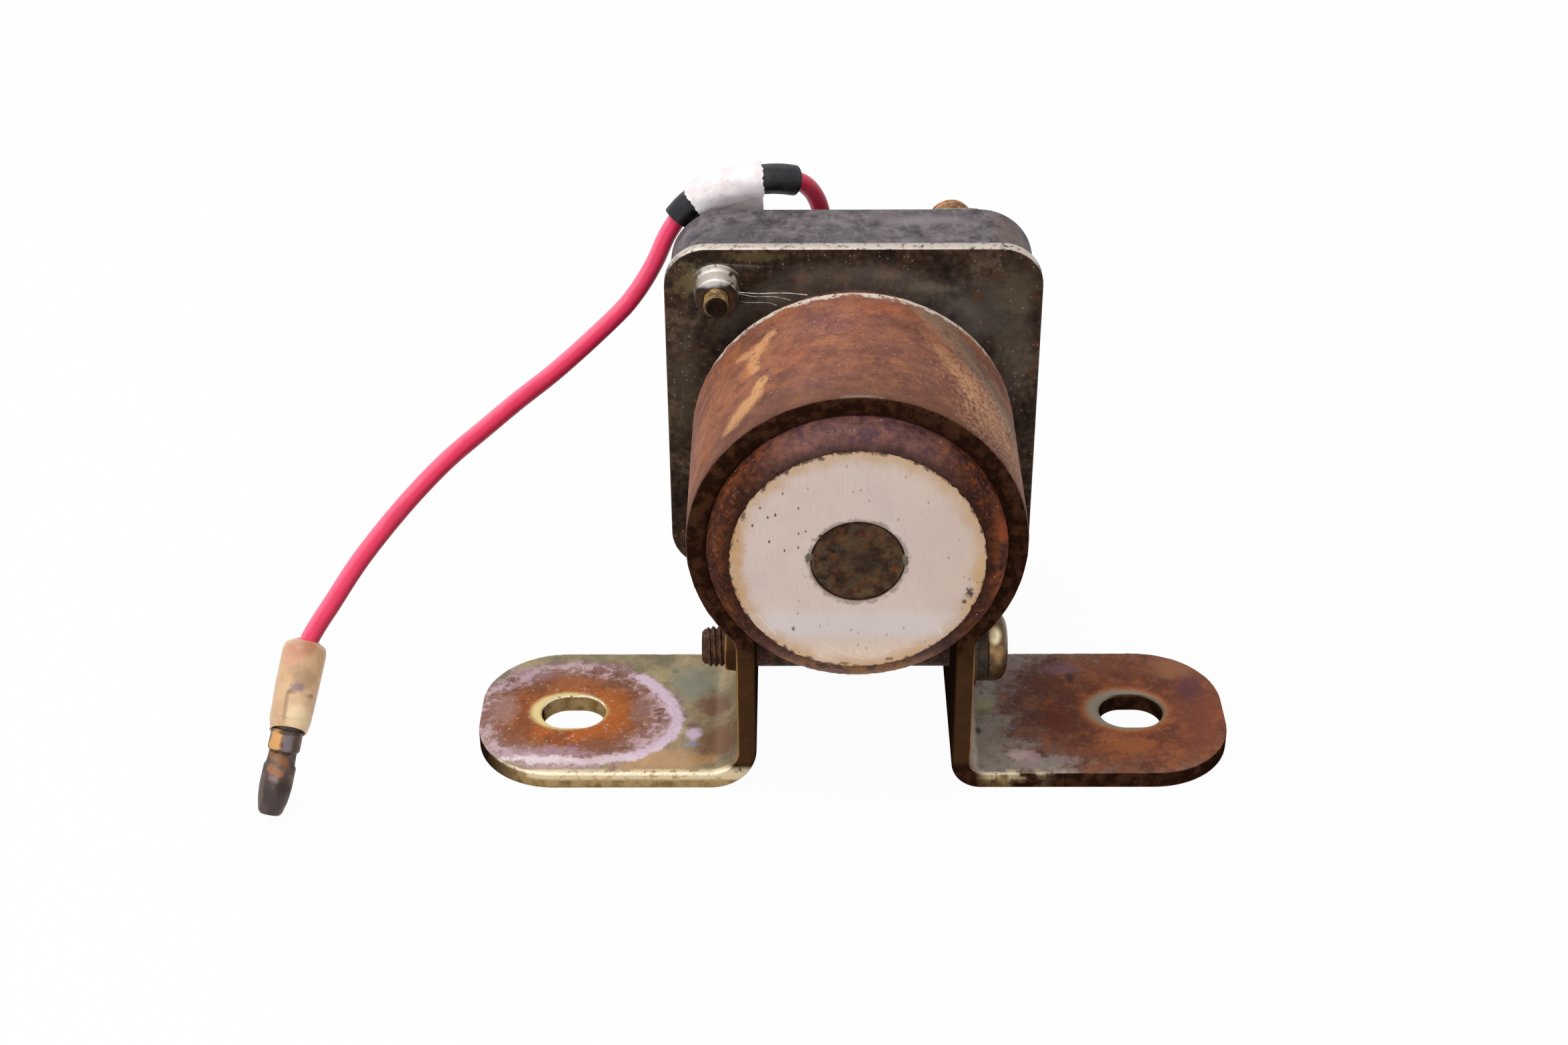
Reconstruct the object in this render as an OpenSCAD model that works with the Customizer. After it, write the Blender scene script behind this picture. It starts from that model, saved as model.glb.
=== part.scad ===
// Starter solenoid of a motorcycle: a steel can with a coil and plunger, held in a
// wrapped strap bracket, with a moulded terminal cap at the rear and a short fly lead.
// Millimetres. X runs along the feet, Y from the can's end to the terminals, Z up.
// The origin lies midway between the two foot slots, on the underside of the feet.

/* [Bracket] */
// Thickness of the strap
strap_thick = 2.3; // [1.8:0.1:2.8]
// Width of the strap, along the can
strap_width = 25; // [22:0.5:27]
// Height of the can's axis over the mounting face
axis_height = 35.4; // [34:0.2:40]
// Clear distance between the two legs
leg_gap = 23.6; // [20:0.2:25]
// Distance from the middle to the end of each foot
foot_reach = 46.6; // [44:0.2:50]
// Corner radius of the foot ends
foot_corner = 10; // [6:0.5:11]
// Inside radius of the bend from the left leg to its foot
foot_bend = 3.4; // [1.5:0.1:4]
// Inside radius of the bend from the right leg to its foot
foot_bend_right = 1.4; // [1:0.1:4]
// Inside radius of the bend from leg to ring
neck_bend = 1.5; // [1:0.1:2.5]
// Distance between the two mounting slots
slot_spacing = 70; // [66:0.5:74]
// Width of a mounting slot
slot_width = 6.5; // [5.5:0.1:7]
// Length of a mounting slot, end to end
slot_length = 8; // [7.5:0.1:10]

/* [Clamp screw] */
// Thread diameter of the clamp screw
clamp_d = 5; // [4:0.5:5]
// Height of the clamp screw over the mounting face
clamp_height = 12.4; // [10:0.1:13]
// Diameter of the clamp screw's head
clamp_head_d = 8.6; // [7.8:0.1:9.4]
// Height of the clamp screw's head
clamp_head_h = 2.7; // [2.3:0.1:4]
// How far the clamp screw stands out of the left leg, which is tapped
clamp_tip = 4.9; // [1:0.1:6]
// Thickness of the clamp screw's flat washer
clamp_flat_t = 0.9; // [0.6:0.1:1.4]
// Thickness of the clamp screw's spring washer
clamp_lock_t = 1.3; // [0.8:0.1:1.8]

/* [Can] */
// Outside diameter of the can
can_d = 34.6; // [33:0.2:36]
// Wall of the can
can_wall = 1.2; // [0.8:0.1:1.5]
// Width of the can's four staked tabs
tab_w = 5; // [3:0.5:7]
// Outside corner radius at the can's closed end
can_corner = 2.6; // [2:0.1:3.4]
// How far the can stands out of the strap
can_overhang = 3; // [1.5:0.1:5]
// Gap between the strap and the flange plate
flange_gap = 4.9; // [3:0.1:7]
// Thickness of the pale end ring
ring_thick = 0.25; // [0.2:0.05:0.6]
// Diameter of the core's end in the can
core_end_d = 10.6; // [9:0.1:11]

/* [Magnet] */
// Diameter of the fixed core
core_d = 12; // [11.4:0.1:12.4]
// Length of the fixed core inside the can
core_len = 11; // [9:0.5:12]
// Diameter of the plunger
plunger_d = 11.8; // [11:0.1:12.2]
// Gap between core and plunger at rest
pole_gap = 2.5; // [2.3:0.1:3]
// Bore of the bobbin
bobbin_bore = 12.5; // [12.5:0.1:12.8]
// Wall of the bobbin's tube
bobbin_wall = 1; // [0.8:0.1:1.4]
// Thickness of the bobbin's flanges
bobbin_flange_t = 1.4; // [1:0.1:2]
// Gap between the winding and the can's wall
winding_gap = 1.1; // [0.6:0.1:3]
// Wire diameter of the return spring
return_wire = 0.7; // [0.5:0.05:0.9]
// Outside diameter of the return spring
return_d = 6.5; // [6:0.1:6.8]
// Diameter of the spring's seat in core and plunger
return_seat_d = 7.2; // [7:0.1:8]
// Depth of the spring's seat in the core
core_seat_depth = 3; // [2:0.5:5]
// Depth of the spring's seat in the plunger
plunger_seat_depth = 6; // [4:0.5:8]

/* [Contacts] */
// Height of the plunger over the flange plate's rear face
plunger_stand = 1.2; // [0.8:0.1:1.4]
// Diameter of the stem
stem_d = 3; // [2.5:0.1:3.2]
// How deep the stem is pressed into the plunger
stem_depth = 9; // [5:0.5:12]
// Diameter of the insulating bush's shoulder
bush_d = 7.4; // [6.6:0.1:8]
// Diameter of the insulating bush's neck
bush_neck_d = 4.6; // [4.4:0.1:5]
// Diameter of the contact disc
disc_d = 15; // [14:0.5:17]
// Thickness of the contact disc
disc_t = 1.1; // [0.8:0.1:1.5]
// Gap between the disc and the contact blades at rest
contact_gap = 1.3; // [1.2:0.1:1.5]
// Thickness of the contact blades
blade_t = 1.2; // [0.8:0.1:1.5]
// Width of the contact blades
blade_w = 7; // [6:0.5:7]
// Height of the contact spring
contact_spring_h = 2.2; // [2:0.1:2.4]
// Wire diameter of the contact spring
contact_wire = 0.5; // [0.4:0.05:0.6]
// Thickness of the retaining clip
clip_t = 0.6; // [0.4:0.1:0.8]
// Outside diameter of the retaining clip
clip_d = 6.8; // [6:0.1:7.5]

/* [Flange and cap] */
// How far the flange plate stands out all round the cap
flange_lip = 0.4; // [0.2:0.1:1.5]
// Corner radius of the flange plate
flange_corner = 5.2; // [4:0.2:8]
// Thickness of the flange plate
flange_t = 1.5; // [1:0.1:2]
// Side of the square terminal cap
cap_size = 45; // [44.4:0.2:45.8]
// Corner radius of the terminal cap
cap_corner = 7; // [4:0.2:7.4]
// Wall of the terminal cap
cap_wall = 1.5; // [1.2:0.1:1.6]
// Rounding of the cap's rear edge
cap_edge = 0.6; // [0.4:0.1:1.2]
// Thickness of the insulator sheet
sheet_t = 0.5; // [0.3:0.1:0.8]
// Distance of the cap screws from the cap's left or right side
screw_side = 6; // [5.5:0.1:7]
// Distance of the cap screws from the cap's top or bottom
screw_top = 5.1; // [4.6:0.1:6]
// Thread diameter of the cap screws
screw_d = 3; // [2.5:0.1:3.5]
// Diameter of the cap screws' heads
screw_head_d = 5.6; // [5:0.1:6]
// Height of the cap screws' heads
screw_head_h = 1.8; // [1.4:0.1:2]
// Thickness of the cap screws' spring washers
screw_washer_t = 0.7; // [0.5:0.1:0.8]
// Length of the cap screws' tips in front of the flange plate
screw_tip = 4.9; // [2.5:0.1:6]
// Outer diameter of the flange plate's tapped collars
collar_d = 5.2; // [4.6:0.1:5.6]
// Length of the flange plate's tapped collars
collar_len = 2.4; // [1:0.1:3]

/* [Terminals] */
// Thread diameter of the terminal studs
stud_d = 6; // [5:0.5:6]
// Distance of the studs from the cap's left or right side
stud_side = 9.3; // [8.6:0.1:11]
// Distance of the studs from the cap's top or bottom
stud_top = 8.5; // [7.5:0.1:9.5]
// Length of the studs behind the cap
stud_out = 15.1; // [11:0.1:18]
// Diameter of the studs' heads
stud_head_d = 7.4; // [6.8:0.1:7.6]
// Thickness of the studs' heads
stud_head_t = 1.25; // [1:0.05:1.6]
// Diameter of the cap's bosses round the studs
stud_boss_d = 11; // [9.5:0.5:12]
// Width across flats of the stud nuts
nut_flats = 10; // [9:0.5:10]
// Height of the stud nuts
nut_h = 4.8; // [4:0.1:5.5]
// Outside diameter of the studs' flat washers
stud_flat_d = 10.8; // [10:0.2:11]
// Thickness of the studs' flat washers
stud_flat_t = 0.9; // [0.6:0.1:1.4]
// Outside diameter of the studs' spring washers
stud_lock_d = 9.8; // [9:0.1:10.4]
// Thickness of the studs' spring washers
stud_lock_t = 1.5; // [1:0.1:2]

/* [Lead] */
// Outside diameter of the lead's insulation
lead_d = 2.3; // [2.1:0.1:2.4]
// Sideways place of the lead's exit, from the axis
lead_x = -3.2; // [-5:0.1:-1]
// Distance of the lead's exit from the cap's top
lead_top = 9.9; // [9:0.1:10.5]
// Diameter of the grommet's body in the cap
grommet_d = 6; // [5:0.1:6.5]
// Diameter of the grommet's outer flange
grommet_flange_d = 8; // [7.4:0.1:8.4]
// Thickness of the grommet's flanges
grommet_lip = 1; // [0.8:0.1:1.2]
// Outside diameter of the black sleeve
sleeve_d = 4; // [3.8:0.1:4.4]
// Outside diameter of the tape round the sleeve
tape_d = 4.8; // [4.7:0.1:5.2]
// How far the tape's tail hangs from the sleeve's axis
tape_tail = 4.6; // [3.5:0.1:5.5]
// Outside diameter of the connector's sleeve
cover_d = 5.35; // [5.2:0.05:5.8]
// Length of the connector's sleeve
cover_len = 11; // [9:0.5:13]
// Diameter of the bullet terminal
bullet_d = 3.9; // [3.5:0.1:4]
// Length of the bullet that stands out of its sleeve
bullet_out = 10.4; // [9:0.1:10.4]

/* [Hidden] */
$fn = 64;

// Clearances
can_fit = 0.05;
thread_fit = 0.03;
thread_depth = 0.3;
press_fit = 0.02;
hole_fit = 0.2;
seat_gap = 0.05;
bobbin_gap = 0.2;
slack = 0.1;
past = 1;

// Bracket: the strap's centre line runs ring, neck bend, leg, foot bend, foot
strap_in_r = can_d / 2 + can_fit;
strap_mid_r = strap_in_r + strap_thick / 2;
leg_mid_x = leg_gap / 2 + strap_thick / 2;
leg_out_x = leg_gap / 2 + strap_thick;
neck_mid_r = neck_bend + strap_thick / 2;
neck_x = leg_mid_x + neck_mid_r;
neck_drop = sqrt(pow(strap_mid_r + neck_mid_r, 2) - pow(neck_x, 2));
neck_z = axis_height - neck_drop;

// Places across the axis
flange_size = cap_size + 2 * flange_lip;
screw_x = cap_size / 2 - screw_side;
screw_z = cap_size / 2 - screw_top;
stud_x = cap_size / 2 - stud_side;
stud_z = cap_size / 2 - stud_top;
lead_z = cap_size / 2 - lead_top;
winding_r = can_d / 2 - can_wall - winding_gap;

// Planes along the axis, front to rear
can_front = -strap_width / 2 - can_overhang;
can_inner_front = can_front + can_wall;
flange_front = strap_width / 2 + flange_gap;
flange_rear = flange_front + flange_t;
core_face = can_inner_front + core_len;
plunger_front = core_face + pole_gap;
plunger_rear = flange_rear + plunger_stand;
sheet_rear = flange_rear + sheet_t;
head_front = sheet_rear + seat_gap;
blade_front = head_front + stud_head_t;
blade_rear = blade_front + blade_t;
disc_front = blade_rear + contact_gap;
disc_rear = disc_front + disc_t;
clip_front = disc_rear + contact_spring_h;
clip_rear = clip_front + clip_t;
stem_rear = clip_rear + 0.2;
cap_inner = stem_rear + 0.3;
cap_rear = cap_inner + 1.7;
nut_front = cap_rear + stud_flat_t + stud_lock_t;

// Frames
module on_axis(y, x = 0, z = 0) {
    translate([x, y, axis_height + z]) rotate([-90, 0, 0]) children();
}

module pair(x, z, y) {
    for (side = [1, -1]) on_axis(y, side * x, side * z) children();
}

// Shapes shared by several pieces
module ring(outer_r, inner_r, length) {
    difference() {
        cylinder(r = outer_r, h = length);
        translate([0, 0, -past]) cylinder(r = inner_r, h = length + 2 * past);
    }
}

module round_square(size, corner) {
    reach = size / 2 - corner;
    square([size, 2 * reach], center = true);
    square([2 * reach, size], center = true);
    for (x = [-reach, reach], y = [-reach, reach]) translate([x, y]) circle(r = corner);
}

// Closed cup end: a cylinder whose edge at z = 0 is rounded
module drum(r, length, corner) {
    translate([0, 0, corner]) cylinder(r = r, h = length - corner);
    cylinder(r = r - corner, h = corner + slack);
    translate([0, 0, corner]) rotate_extrude() translate([r - corner, 0]) circle(r = corner);
}

// Slab whose edge at the top is rounded
module round_slab(size, corner, depth, edge) {
    reach = size / 2 - corner;
    linear_extrude(depth - edge) round_square(size, corner);
    linear_extrude(depth) round_square(size - 2 * edge, corner - edge);
    for (turn = [0:90:270]) rotate([0, 0, turn]) {
        translate([-reach, size / 2 - edge, depth - edge])
            rotate([0, 90, 0]) cylinder(r = edge, h = 2 * reach);
        translate([reach, reach, depth - edge])
            rotate_extrude(angle = 90) translate([corner - edge, 0]) circle(r = edge);
    }
}

module bar_with_chamfer(r, length, chamfer) {
    cylinder(r = r, h = length - chamfer);
    translate([0, 0, length - chamfer]) cylinder(r1 = r, r2 = r - chamfer, h = chamfer);
}

module pan_head(d, h) {
    edge = h * 0.42;
    cylinder(d = d, h = h - edge);
    cylinder(r = d / 2 - edge, h = h);
    translate([0, 0, h - edge]) rotate_extrude() translate([d / 2 - edge, 0]) circle(r = edge);
}

// Cross recess in the top of a pan head
module cross_recess(width, depth) {
    for (turn = [0, 90]) rotate([0, 0, turn])
        translate([-width / 2, -width / 8, -depth]) cube([width, width / 4, depth + past]);
}

module spring_washer(outer_d, inner_d, thick) {
    difference() {
        ring(outer_d / 2, inner_d / 2, thick);
        rotate([0, 0, 45]) translate([0, -0.4, -past])
            cube([outer_d, 0.8, thick + 2 * past]);
    }
}

module hex_nut(flats, bore, h) {
    corner_r = flats / 2 / cos(30);
    chamfer = 0.5;
    difference() {
        intersection() {
            cylinder(r = corner_r, h = h, $fn = 6);
            union() {
                cylinder(r1 = corner_r - chamfer, r2 = corner_r, h = chamfer / 2);
                translate([0, 0, chamfer / 2]) cylinder(r = corner_r, h = h - chamfer);
                translate([0, 0, h - chamfer / 2])
                    cylinder(r1 = corner_r, r2 = corner_r - chamfer, h = chamfer / 2);
            }
        }
        translate([0, 0, -past]) cylinder(d = bore, h = h + 2 * past);
    }
}

// Swept tubes: rings of points square to a path, joined by triangles
function unit(v) = v / norm(v);
function last(list) = len(list) - 1;
function along(path, i) =
    unit(path[min(i + 1, last(path))] - path[max(i - 1, 0)]);
// One side vector for each point, carried along the path without twist
function sides(path, i = 0, list = []) =
    i == len(path) ? list :
    let (
        t = along(path, i),
        before = i == 0 ? (abs(t[2]) < 0.9 ? [0, 0, 1] : [1, 0, 0]) : list[i - 1],
        side = unit(before - (before * t) * t)
    ) sides(path, i + 1, concat(list, [side]));
function ring_points(path, profile) =
    let (across = sides(path))
    [for (i = [0:last(path)], p = profile)
        path[i] + p[0] * cross(across[i], along(path, i)) + p[1] * across[i]];
function round_profile(r, count) =
    [for (k = [0:count - 1]) r * [cos(360 * k / count), sin(360 * k / count)]];
// Side walls between rings; outward when the profile runs anticlockwise
function wall_faces(rings, count, start, outward) =
    [for (i = [0:rings - 2], k = [0:count - 1])
        let (
            a = start + i * count + k,
            b = start + i * count + (k + 1) % count,
            c = b + count,
            d = a + count
        )
        each (outward ? [[a, b, c], [a, c, d]] : [[a, c, b], [a, d, c]])];

module rod_sweep(path, profile) {
    count = len(profile);
    end = last(path) * count;
    polyhedron(
        points = ring_points(path, profile),
        faces = concat(
            wall_faces(len(path), count, 0, true),
            [[for (k = [count - 1:-1:0]) k]],
            [[for (k = [0:count - 1]) end + k]]
        )
    );
}

module tube_sweep(path, outer, inner) {
    count = len(outer);
    inside = len(path) * count;
    end = last(path) * count;
    polyhedron(
        points = concat(ring_points(path, outer), ring_points(path, inner)),
        faces = concat(
            wall_faces(len(path), count, 0, true),
            wall_faces(len(path), count, inside, false),
            [for (k = [0:count - 1])
                let (n = (k + 1) % count)
                each [[k, inside + n, n], [k, inside + k, inside + n]]],
            [for (k = [0:count - 1])
                let (n = (k + 1) % count, o = end, i = inside + end)
                each [[o + k, o + n, i + n], [o + k, i + n, i + k]]]
        )
    );
}

// Compression spring along +Z whose end coils lie closed on their seats
module coil_spring(outer_d, wire, height, turns) {
    mean_r = outer_d / 2 - wire / 2;
    rise = height - wire;
    steps = 8 * turns;
    path = [for (i = [0:steps])
        let (
            s = i / steps,
            lead = 0.5 - 0.5 * cos(180 * s),
            z = wire / 2 + rise * (0.5 * s + 0.5 * lead)
        )
        [mean_r * cos(45 * i), mean_r * sin(45 * i), z]];
    rod_sweep(path, round_profile(wire / 2, 6));
}

// Strap bracket: one steel strap wrapped round the can, its two legs bent out to feet
module keyhole(disc_r, half_x, bend_r, low) {
    translate([0, axis_height]) circle(r = disc_r);
    difference() {
        polygon([
            [0, axis_height], [neck_x, neck_z], [half_x, neck_z], [half_x, low],
            [-half_x, low], [-half_x, neck_z], [-neck_x, neck_z]
        ]);
        for (side = [-1, 1]) translate([side * neck_x, neck_z]) circle(r = bend_r);
    }
}

module foot_profile(bend) {
    translate([leg_gap / 2, 0]) square([foot_reach - leg_gap / 2, strap_thick]);
    difference() {
        translate([leg_mid_x, strap_thick / 2]) square(bend + strap_thick / 2);
        translate([leg_out_x + bend, strap_thick + bend]) circle(r = bend);
    }
}

module foot_bend_cut(bend) {
    difference() {
        translate([leg_gap / 2 - past, -past]) square(bend + strap_thick + past);
        translate([leg_out_x + bend, strap_thick + bend]) circle(r = bend + strap_thick);
    }
}

module strap_profile() {
    difference() {
        union() {
            difference() {
                keyhole(strap_in_r + strap_thick, leg_out_x, neck_bend, 0);
                keyhole(strap_in_r, leg_gap / 2, neck_bend + strap_thick, -past);
            }
            foot_profile(foot_bend_right);
            mirror([1, 0]) foot_profile(foot_bend);
        }
        foot_bend_cut(foot_bend_right);
        mirror([1, 0]) foot_bend_cut(foot_bend);
    }
}

module foot_corner_cut() {
    translate([foot_reach - foot_corner, strap_width / 2 - foot_corner, -past])
        difference() {
            cube([foot_corner + past, foot_corner + past, strap_thick + 2 * past]);
            translate([0, 0, -past]) cylinder(r = foot_corner, h = strap_thick + 4 * past);
        }
}

module foot_slot() {
    reach = slot_length / 2 - slot_width / 2;
    translate([slot_spacing / 2, 0, -past]) linear_extrude(strap_thick + 2 * past) {
        for (x = [-reach, reach]) translate([x, 0]) circle(d = slot_width);
        square([2 * reach, slot_width], center = true);
    }
}

module bracket() color("#7a4326") difference() {
    translate([0, strap_width / 2, 0]) rotate([90, 0, 0])
        linear_extrude(strap_width) strap_profile();
    for (side = [0, 1]) mirror([side, 0, 0]) {
        foot_slot();
        foot_corner_cut();
        mirror([0, 1, 0]) foot_corner_cut();
    }
    translate([-leg_out_x - past, 0, clamp_height])
        rotate([0, 90, 0]) cylinder(r = clamp_d / 2 + thread_fit, h = leg_out_x + past);
    translate([0, 0, clamp_height])
        rotate([0, 90, 0]) cylinder(r = clamp_d / 2 + hole_fit, h = leg_out_x + past);
}

module clamp_screw() color("#8d7440") {
    head_x = leg_out_x + clamp_flat_t + clamp_lock_t;
    tip_x = leg_out_x + clamp_tip;
    translate([head_x, 0, clamp_height]) {
        rotate([0, 90, 0]) difference() {
            pan_head(clamp_head_d, clamp_head_h);
            translate([0, 0, clamp_head_h]) cross_recess(clamp_head_d * 0.55, clamp_head_h * 0.5);
        }
        rotate([0, -90, 0]) bar_with_chamfer(clamp_d / 2, head_x + tip_x, 0.6);
    }
}

module clamp_flat_washer() color("#6e665c")
    translate([leg_out_x, 0, clamp_height]) rotate([0, 90, 0])
        ring(clamp_head_d / 2 + 0.6, clamp_d / 2 + hole_fit, clamp_flat_t);

module clamp_lock_washer() color("#3e3a36")
    translate([leg_out_x + clamp_flat_t, 0, clamp_height]) rotate([0, 90, 0])
        spring_washer(clamp_head_d, clamp_d + 2 * slack, clamp_lock_t);

// Drawn steel can: closed and rounded at the front, four tabs staked in the flange plate
module tab_ring(grow, length) {
    intersection() {
        ring(can_d / 2 + grow, can_d / 2 - can_wall - grow, length);
        for (turn = [0, 90]) rotate([0, 0, turn])
            translate([-tab_w / 2 - grow, -can_d, 0])
                cube([tab_w + 2 * grow, 2 * can_d, length]);
    }
}

module can() color("#5b3428") {
    length = flange_front - can_front;
    on_axis(can_front) difference() {
        union() {
            drum(can_d / 2, length, can_corner);
            translate([0, 0, length - slack]) tab_ring(0, flange_t + slack);
        }
        translate([0, 0, can_wall])
            drum(can_d / 2 - can_wall, length + flange_t + past, can_corner - can_wall);
        translate([0, 0, -past]) cylinder(r = core_end_d / 2 + press_fit, h = can_wall + 2 * past);
    }
}

// Pale ring stuck on the flat of the can's closed end
module end_ring() color("#d6c5be")
    on_axis(can_front - ring_thick)
        ring(can_d / 2 - can_corner, core_end_d / 2 + slack, ring_thick);

// Core staked in the can's closed end, with a seat for the return spring
module fixed_core() color("#4c443c")
    on_axis(can_front) difference() {
        union() {
            cylinder(d = core_end_d, h = can_wall + past);
            translate([0, 0, can_wall]) cylinder(d = core_d, h = core_len);
        }
        translate([0, 0, can_wall + core_len - core_seat_depth])
            cylinder(d = return_seat_d, h = core_seat_depth + past);
    }

// Moulded bobbin; its front flange is bevelled to clear the can's rounded corner
bobbin_len = flange_front - can_inner_front - 2 * bobbin_gap;
bobbin_flange_r = can_d / 2 - can_wall - bobbin_gap;
module bobbin() color("#2f2b28")
    on_axis(can_inner_front + bobbin_gap) difference() {
        union() {
            cylinder(r = bobbin_bore / 2 + bobbin_wall, h = bobbin_len);
            cylinder(r1 = bobbin_flange_r - bobbin_flange_t, r2 = bobbin_flange_r,
                h = bobbin_flange_t);
            translate([0, 0, bobbin_len - bobbin_flange_t])
                cylinder(r = bobbin_flange_r, h = bobbin_flange_t);
        }
        translate([0, 0, -past]) cylinder(d = bobbin_bore, h = bobbin_len + 2 * past);
    }

// Copper winding between the bobbin's flanges
module winding() color("#8a4a22")
    on_axis(can_inner_front + bobbin_gap + bobbin_flange_t + slack)
        ring(winding_r, bobbin_bore / 2 + bobbin_wall + slack,
            bobbin_len - 2 * bobbin_flange_t - 2 * slack);

// Plunger: it slides in the bobbin's bore and through the flange plate
module plunger() color("#6d6a66") {
    length = plunger_rear - plunger_front;
    on_axis(plunger_front) difference() {
        union() {
            cylinder(r1 = plunger_d / 2 - 0.5, r2 = plunger_d / 2, h = 0.5);
            translate([0, 0, 0.5]) cylinder(d = plunger_d, h = length - 0.5);
        }
        translate([0, 0, -past]) cylinder(d = return_seat_d, h = plunger_seat_depth + past);
        translate([0, 0, length - stem_depth])
            cylinder(r = stem_d / 2 + press_fit, h = stem_depth + past);
    }
}

module plunger_stem() color("#a8894a") {
    clip_place = clip_front - plunger_rear + stem_depth;
    length = stem_rear - plunger_rear + stem_depth;
    on_axis(plunger_rear - stem_depth) difference() {
        bar_with_chamfer(stem_d / 2, length, 0.15);
        translate([0, 0, clip_place]) ring(stem_d, stem_d / 2 - 0.4, clip_t);
    }
}

module insulating_bush() color("#6b4a2c") {
    shoulder = disc_front - plunger_rear;
    neck = disc_t + 0.9;
    on_axis(plunger_rear) difference() {
        union() {
            cylinder(d = bush_d, h = shoulder);
            cylinder(d = bush_neck_d, h = shoulder + neck);
        }
        translate([0, 0, -past])
            cylinder(r = stem_d / 2 + press_fit, h = shoulder + neck + 2 * past);
    }
}

module contact_disc() color("#a85f35")
    on_axis(disc_front) ring(disc_d / 2, bush_neck_d / 2 + slack, disc_t);

module contact_spring() color("#8f8f8c")
    on_axis(disc_rear + seat_gap)
        coil_spring(bush_neck_d + 2 * contact_wire + 4 * slack, contact_wire,
            contact_spring_h - 2 * seat_gap, 2);

// Open retaining clip in the stem's groove
module retaining_clip() color("#55524e")
    on_axis(clip_front + press_fit) difference() {
        ring(clip_d / 2, stem_d / 2 - 0.4 + press_fit, clip_t - 2 * press_fit);
        translate([0, -stem_d / 2 + 0.4, -past])
            cube([clip_d, stem_d - 0.8, clip_t + 2 * past]);
    }

module return_spring() color("#8f8f8c")
    on_axis(core_face - core_seat_depth + seat_gap)
        coil_spring(return_d, return_wire,
            core_seat_depth + pole_gap + plunger_seat_depth - 2 * seat_gap, 7);

// Square steel plate that closes the can, with two tapped collars drawn out to the front
module flange_plate() color("#51483a") difference() {
    union() {
        on_axis(flange_front) linear_extrude(flange_t) round_square(flange_size, flange_corner);
        pair(-screw_x, screw_z, flange_front - collar_len)
            cylinder(d = collar_d, h = collar_len + flange_t / 2);
    }
    on_axis(flange_front - past) {
        cylinder(r = plunger_d / 2 + 2 * hole_fit, h = flange_t + 2 * past);
        tab_ring(seat_gap, flange_t + 2 * past);
    }
    pair(-screw_x, screw_z, flange_front - collar_len - past)
        cylinder(r = screw_d / 2 + thread_fit, h = collar_len + flange_t + 2 * past);
    on_axis(flange_front - past, lead_x, lead_z)
        cylinder(r = lead_d / 2 + 2 * hole_fit, h = flange_t + 2 * past);
}

sheet_size = cap_size - 2 * cap_wall - 0.4;
module insulator_sheet() color("#7b5a3a") difference() {
    on_axis(flange_rear) linear_extrude(sheet_t) round_square(sheet_size, cap_corner - cap_wall);
    on_axis(flange_rear - past)
        cylinder(r = plunger_d / 2 + 3 * hole_fit, h = sheet_t + 2 * past);
    pair(-screw_x, screw_z, flange_rear - past)
        cylinder(d = post_d + 4 * slack, h = sheet_t + 2 * past);
    on_axis(flange_rear - past, lead_x, lead_z)
        cylinder(r = lead_d / 2 + 2 * hole_fit, h = sheet_t + 2 * past);
}

// Moulded terminal cap: a shallow box with two screw posts and two stud bosses
post_d = screw_head_d + 2;
module terminal_cap() color("#45404a") {
    depth = cap_rear - flange_rear;
    inner_depth = cap_inner - flange_rear;
    boss_len = cap_inner - blade_rear;
    difference() {
        union() {
            difference() {
                on_axis(flange_rear) round_slab(cap_size, cap_corner, depth, cap_edge);
                on_axis(flange_rear - past) linear_extrude(inner_depth + past)
                    round_square(cap_size - 2 * cap_wall, cap_corner - cap_wall);
            }
            intersection() {
                union() {
                    pair(-screw_x, screw_z, flange_rear)
                        cylinder(d = post_d, h = inner_depth + slack);
                    pair(stud_x, stud_z, blade_rear)
                        cylinder(d = stud_boss_d, h = boss_len + slack);
                }
                on_axis(flange_rear) linear_extrude(depth)
                    round_square(cap_size - cap_wall, cap_corner - cap_wall / 2);
            }
        }
        pair(-screw_x, screw_z, flange_rear - past)
            cylinder(r = screw_d / 2 + hole_fit, h = depth + 2 * past);
        pair(stud_x, stud_z, flange_rear)
            cylinder(r = stud_d / 2 + slack, h = depth + past);
        on_axis(cap_inner - past, lead_x, lead_z)
            cylinder(r = grommet_d / 2 + seat_gap, h = depth);
    }
}

module cap_screws() color("#8a7a55") {
    length = cap_rear + screw_washer_t - flange_front + screw_tip;
    pair(-screw_x, screw_z, cap_rear + screw_washer_t) difference() {
        union() {
            pan_head(screw_head_d, screw_head_h);
            mirror([0, 0, 1]) bar_with_chamfer(screw_d / 2, length, 0.4);
        }
        translate([0, 0, screw_head_h]) cross_recess(screw_head_d * 0.55, screw_head_h * 0.5);
    }
}

module cap_screw_washers() color("#4a4640")
    pair(-screw_x, screw_z, cap_rear)
        spring_washer(screw_head_d, screw_d + 2 * slack, screw_washer_t);

// Copper studs, each with a flat head that clamps its contact blade against the boss.
// The shank is as thin as its thread's middle, the free end as thick as the thread's crests.
module terminal_studs() color("#8c5a34") {
    shank = nut_front + nut_h + slack - head_front;
    free_end = cap_rear + stud_out - head_front - shank;
    pair(stud_x, stud_z, head_front) {
        cylinder(d = stud_head_d, h = stud_head_t);
        cylinder(r = stud_d / 2 - thread_depth, h = shank + slack);
        translate([0, 0, shank]) bar_with_chamfer(stud_d / 2, free_end, 0.7);
    }
}

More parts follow.
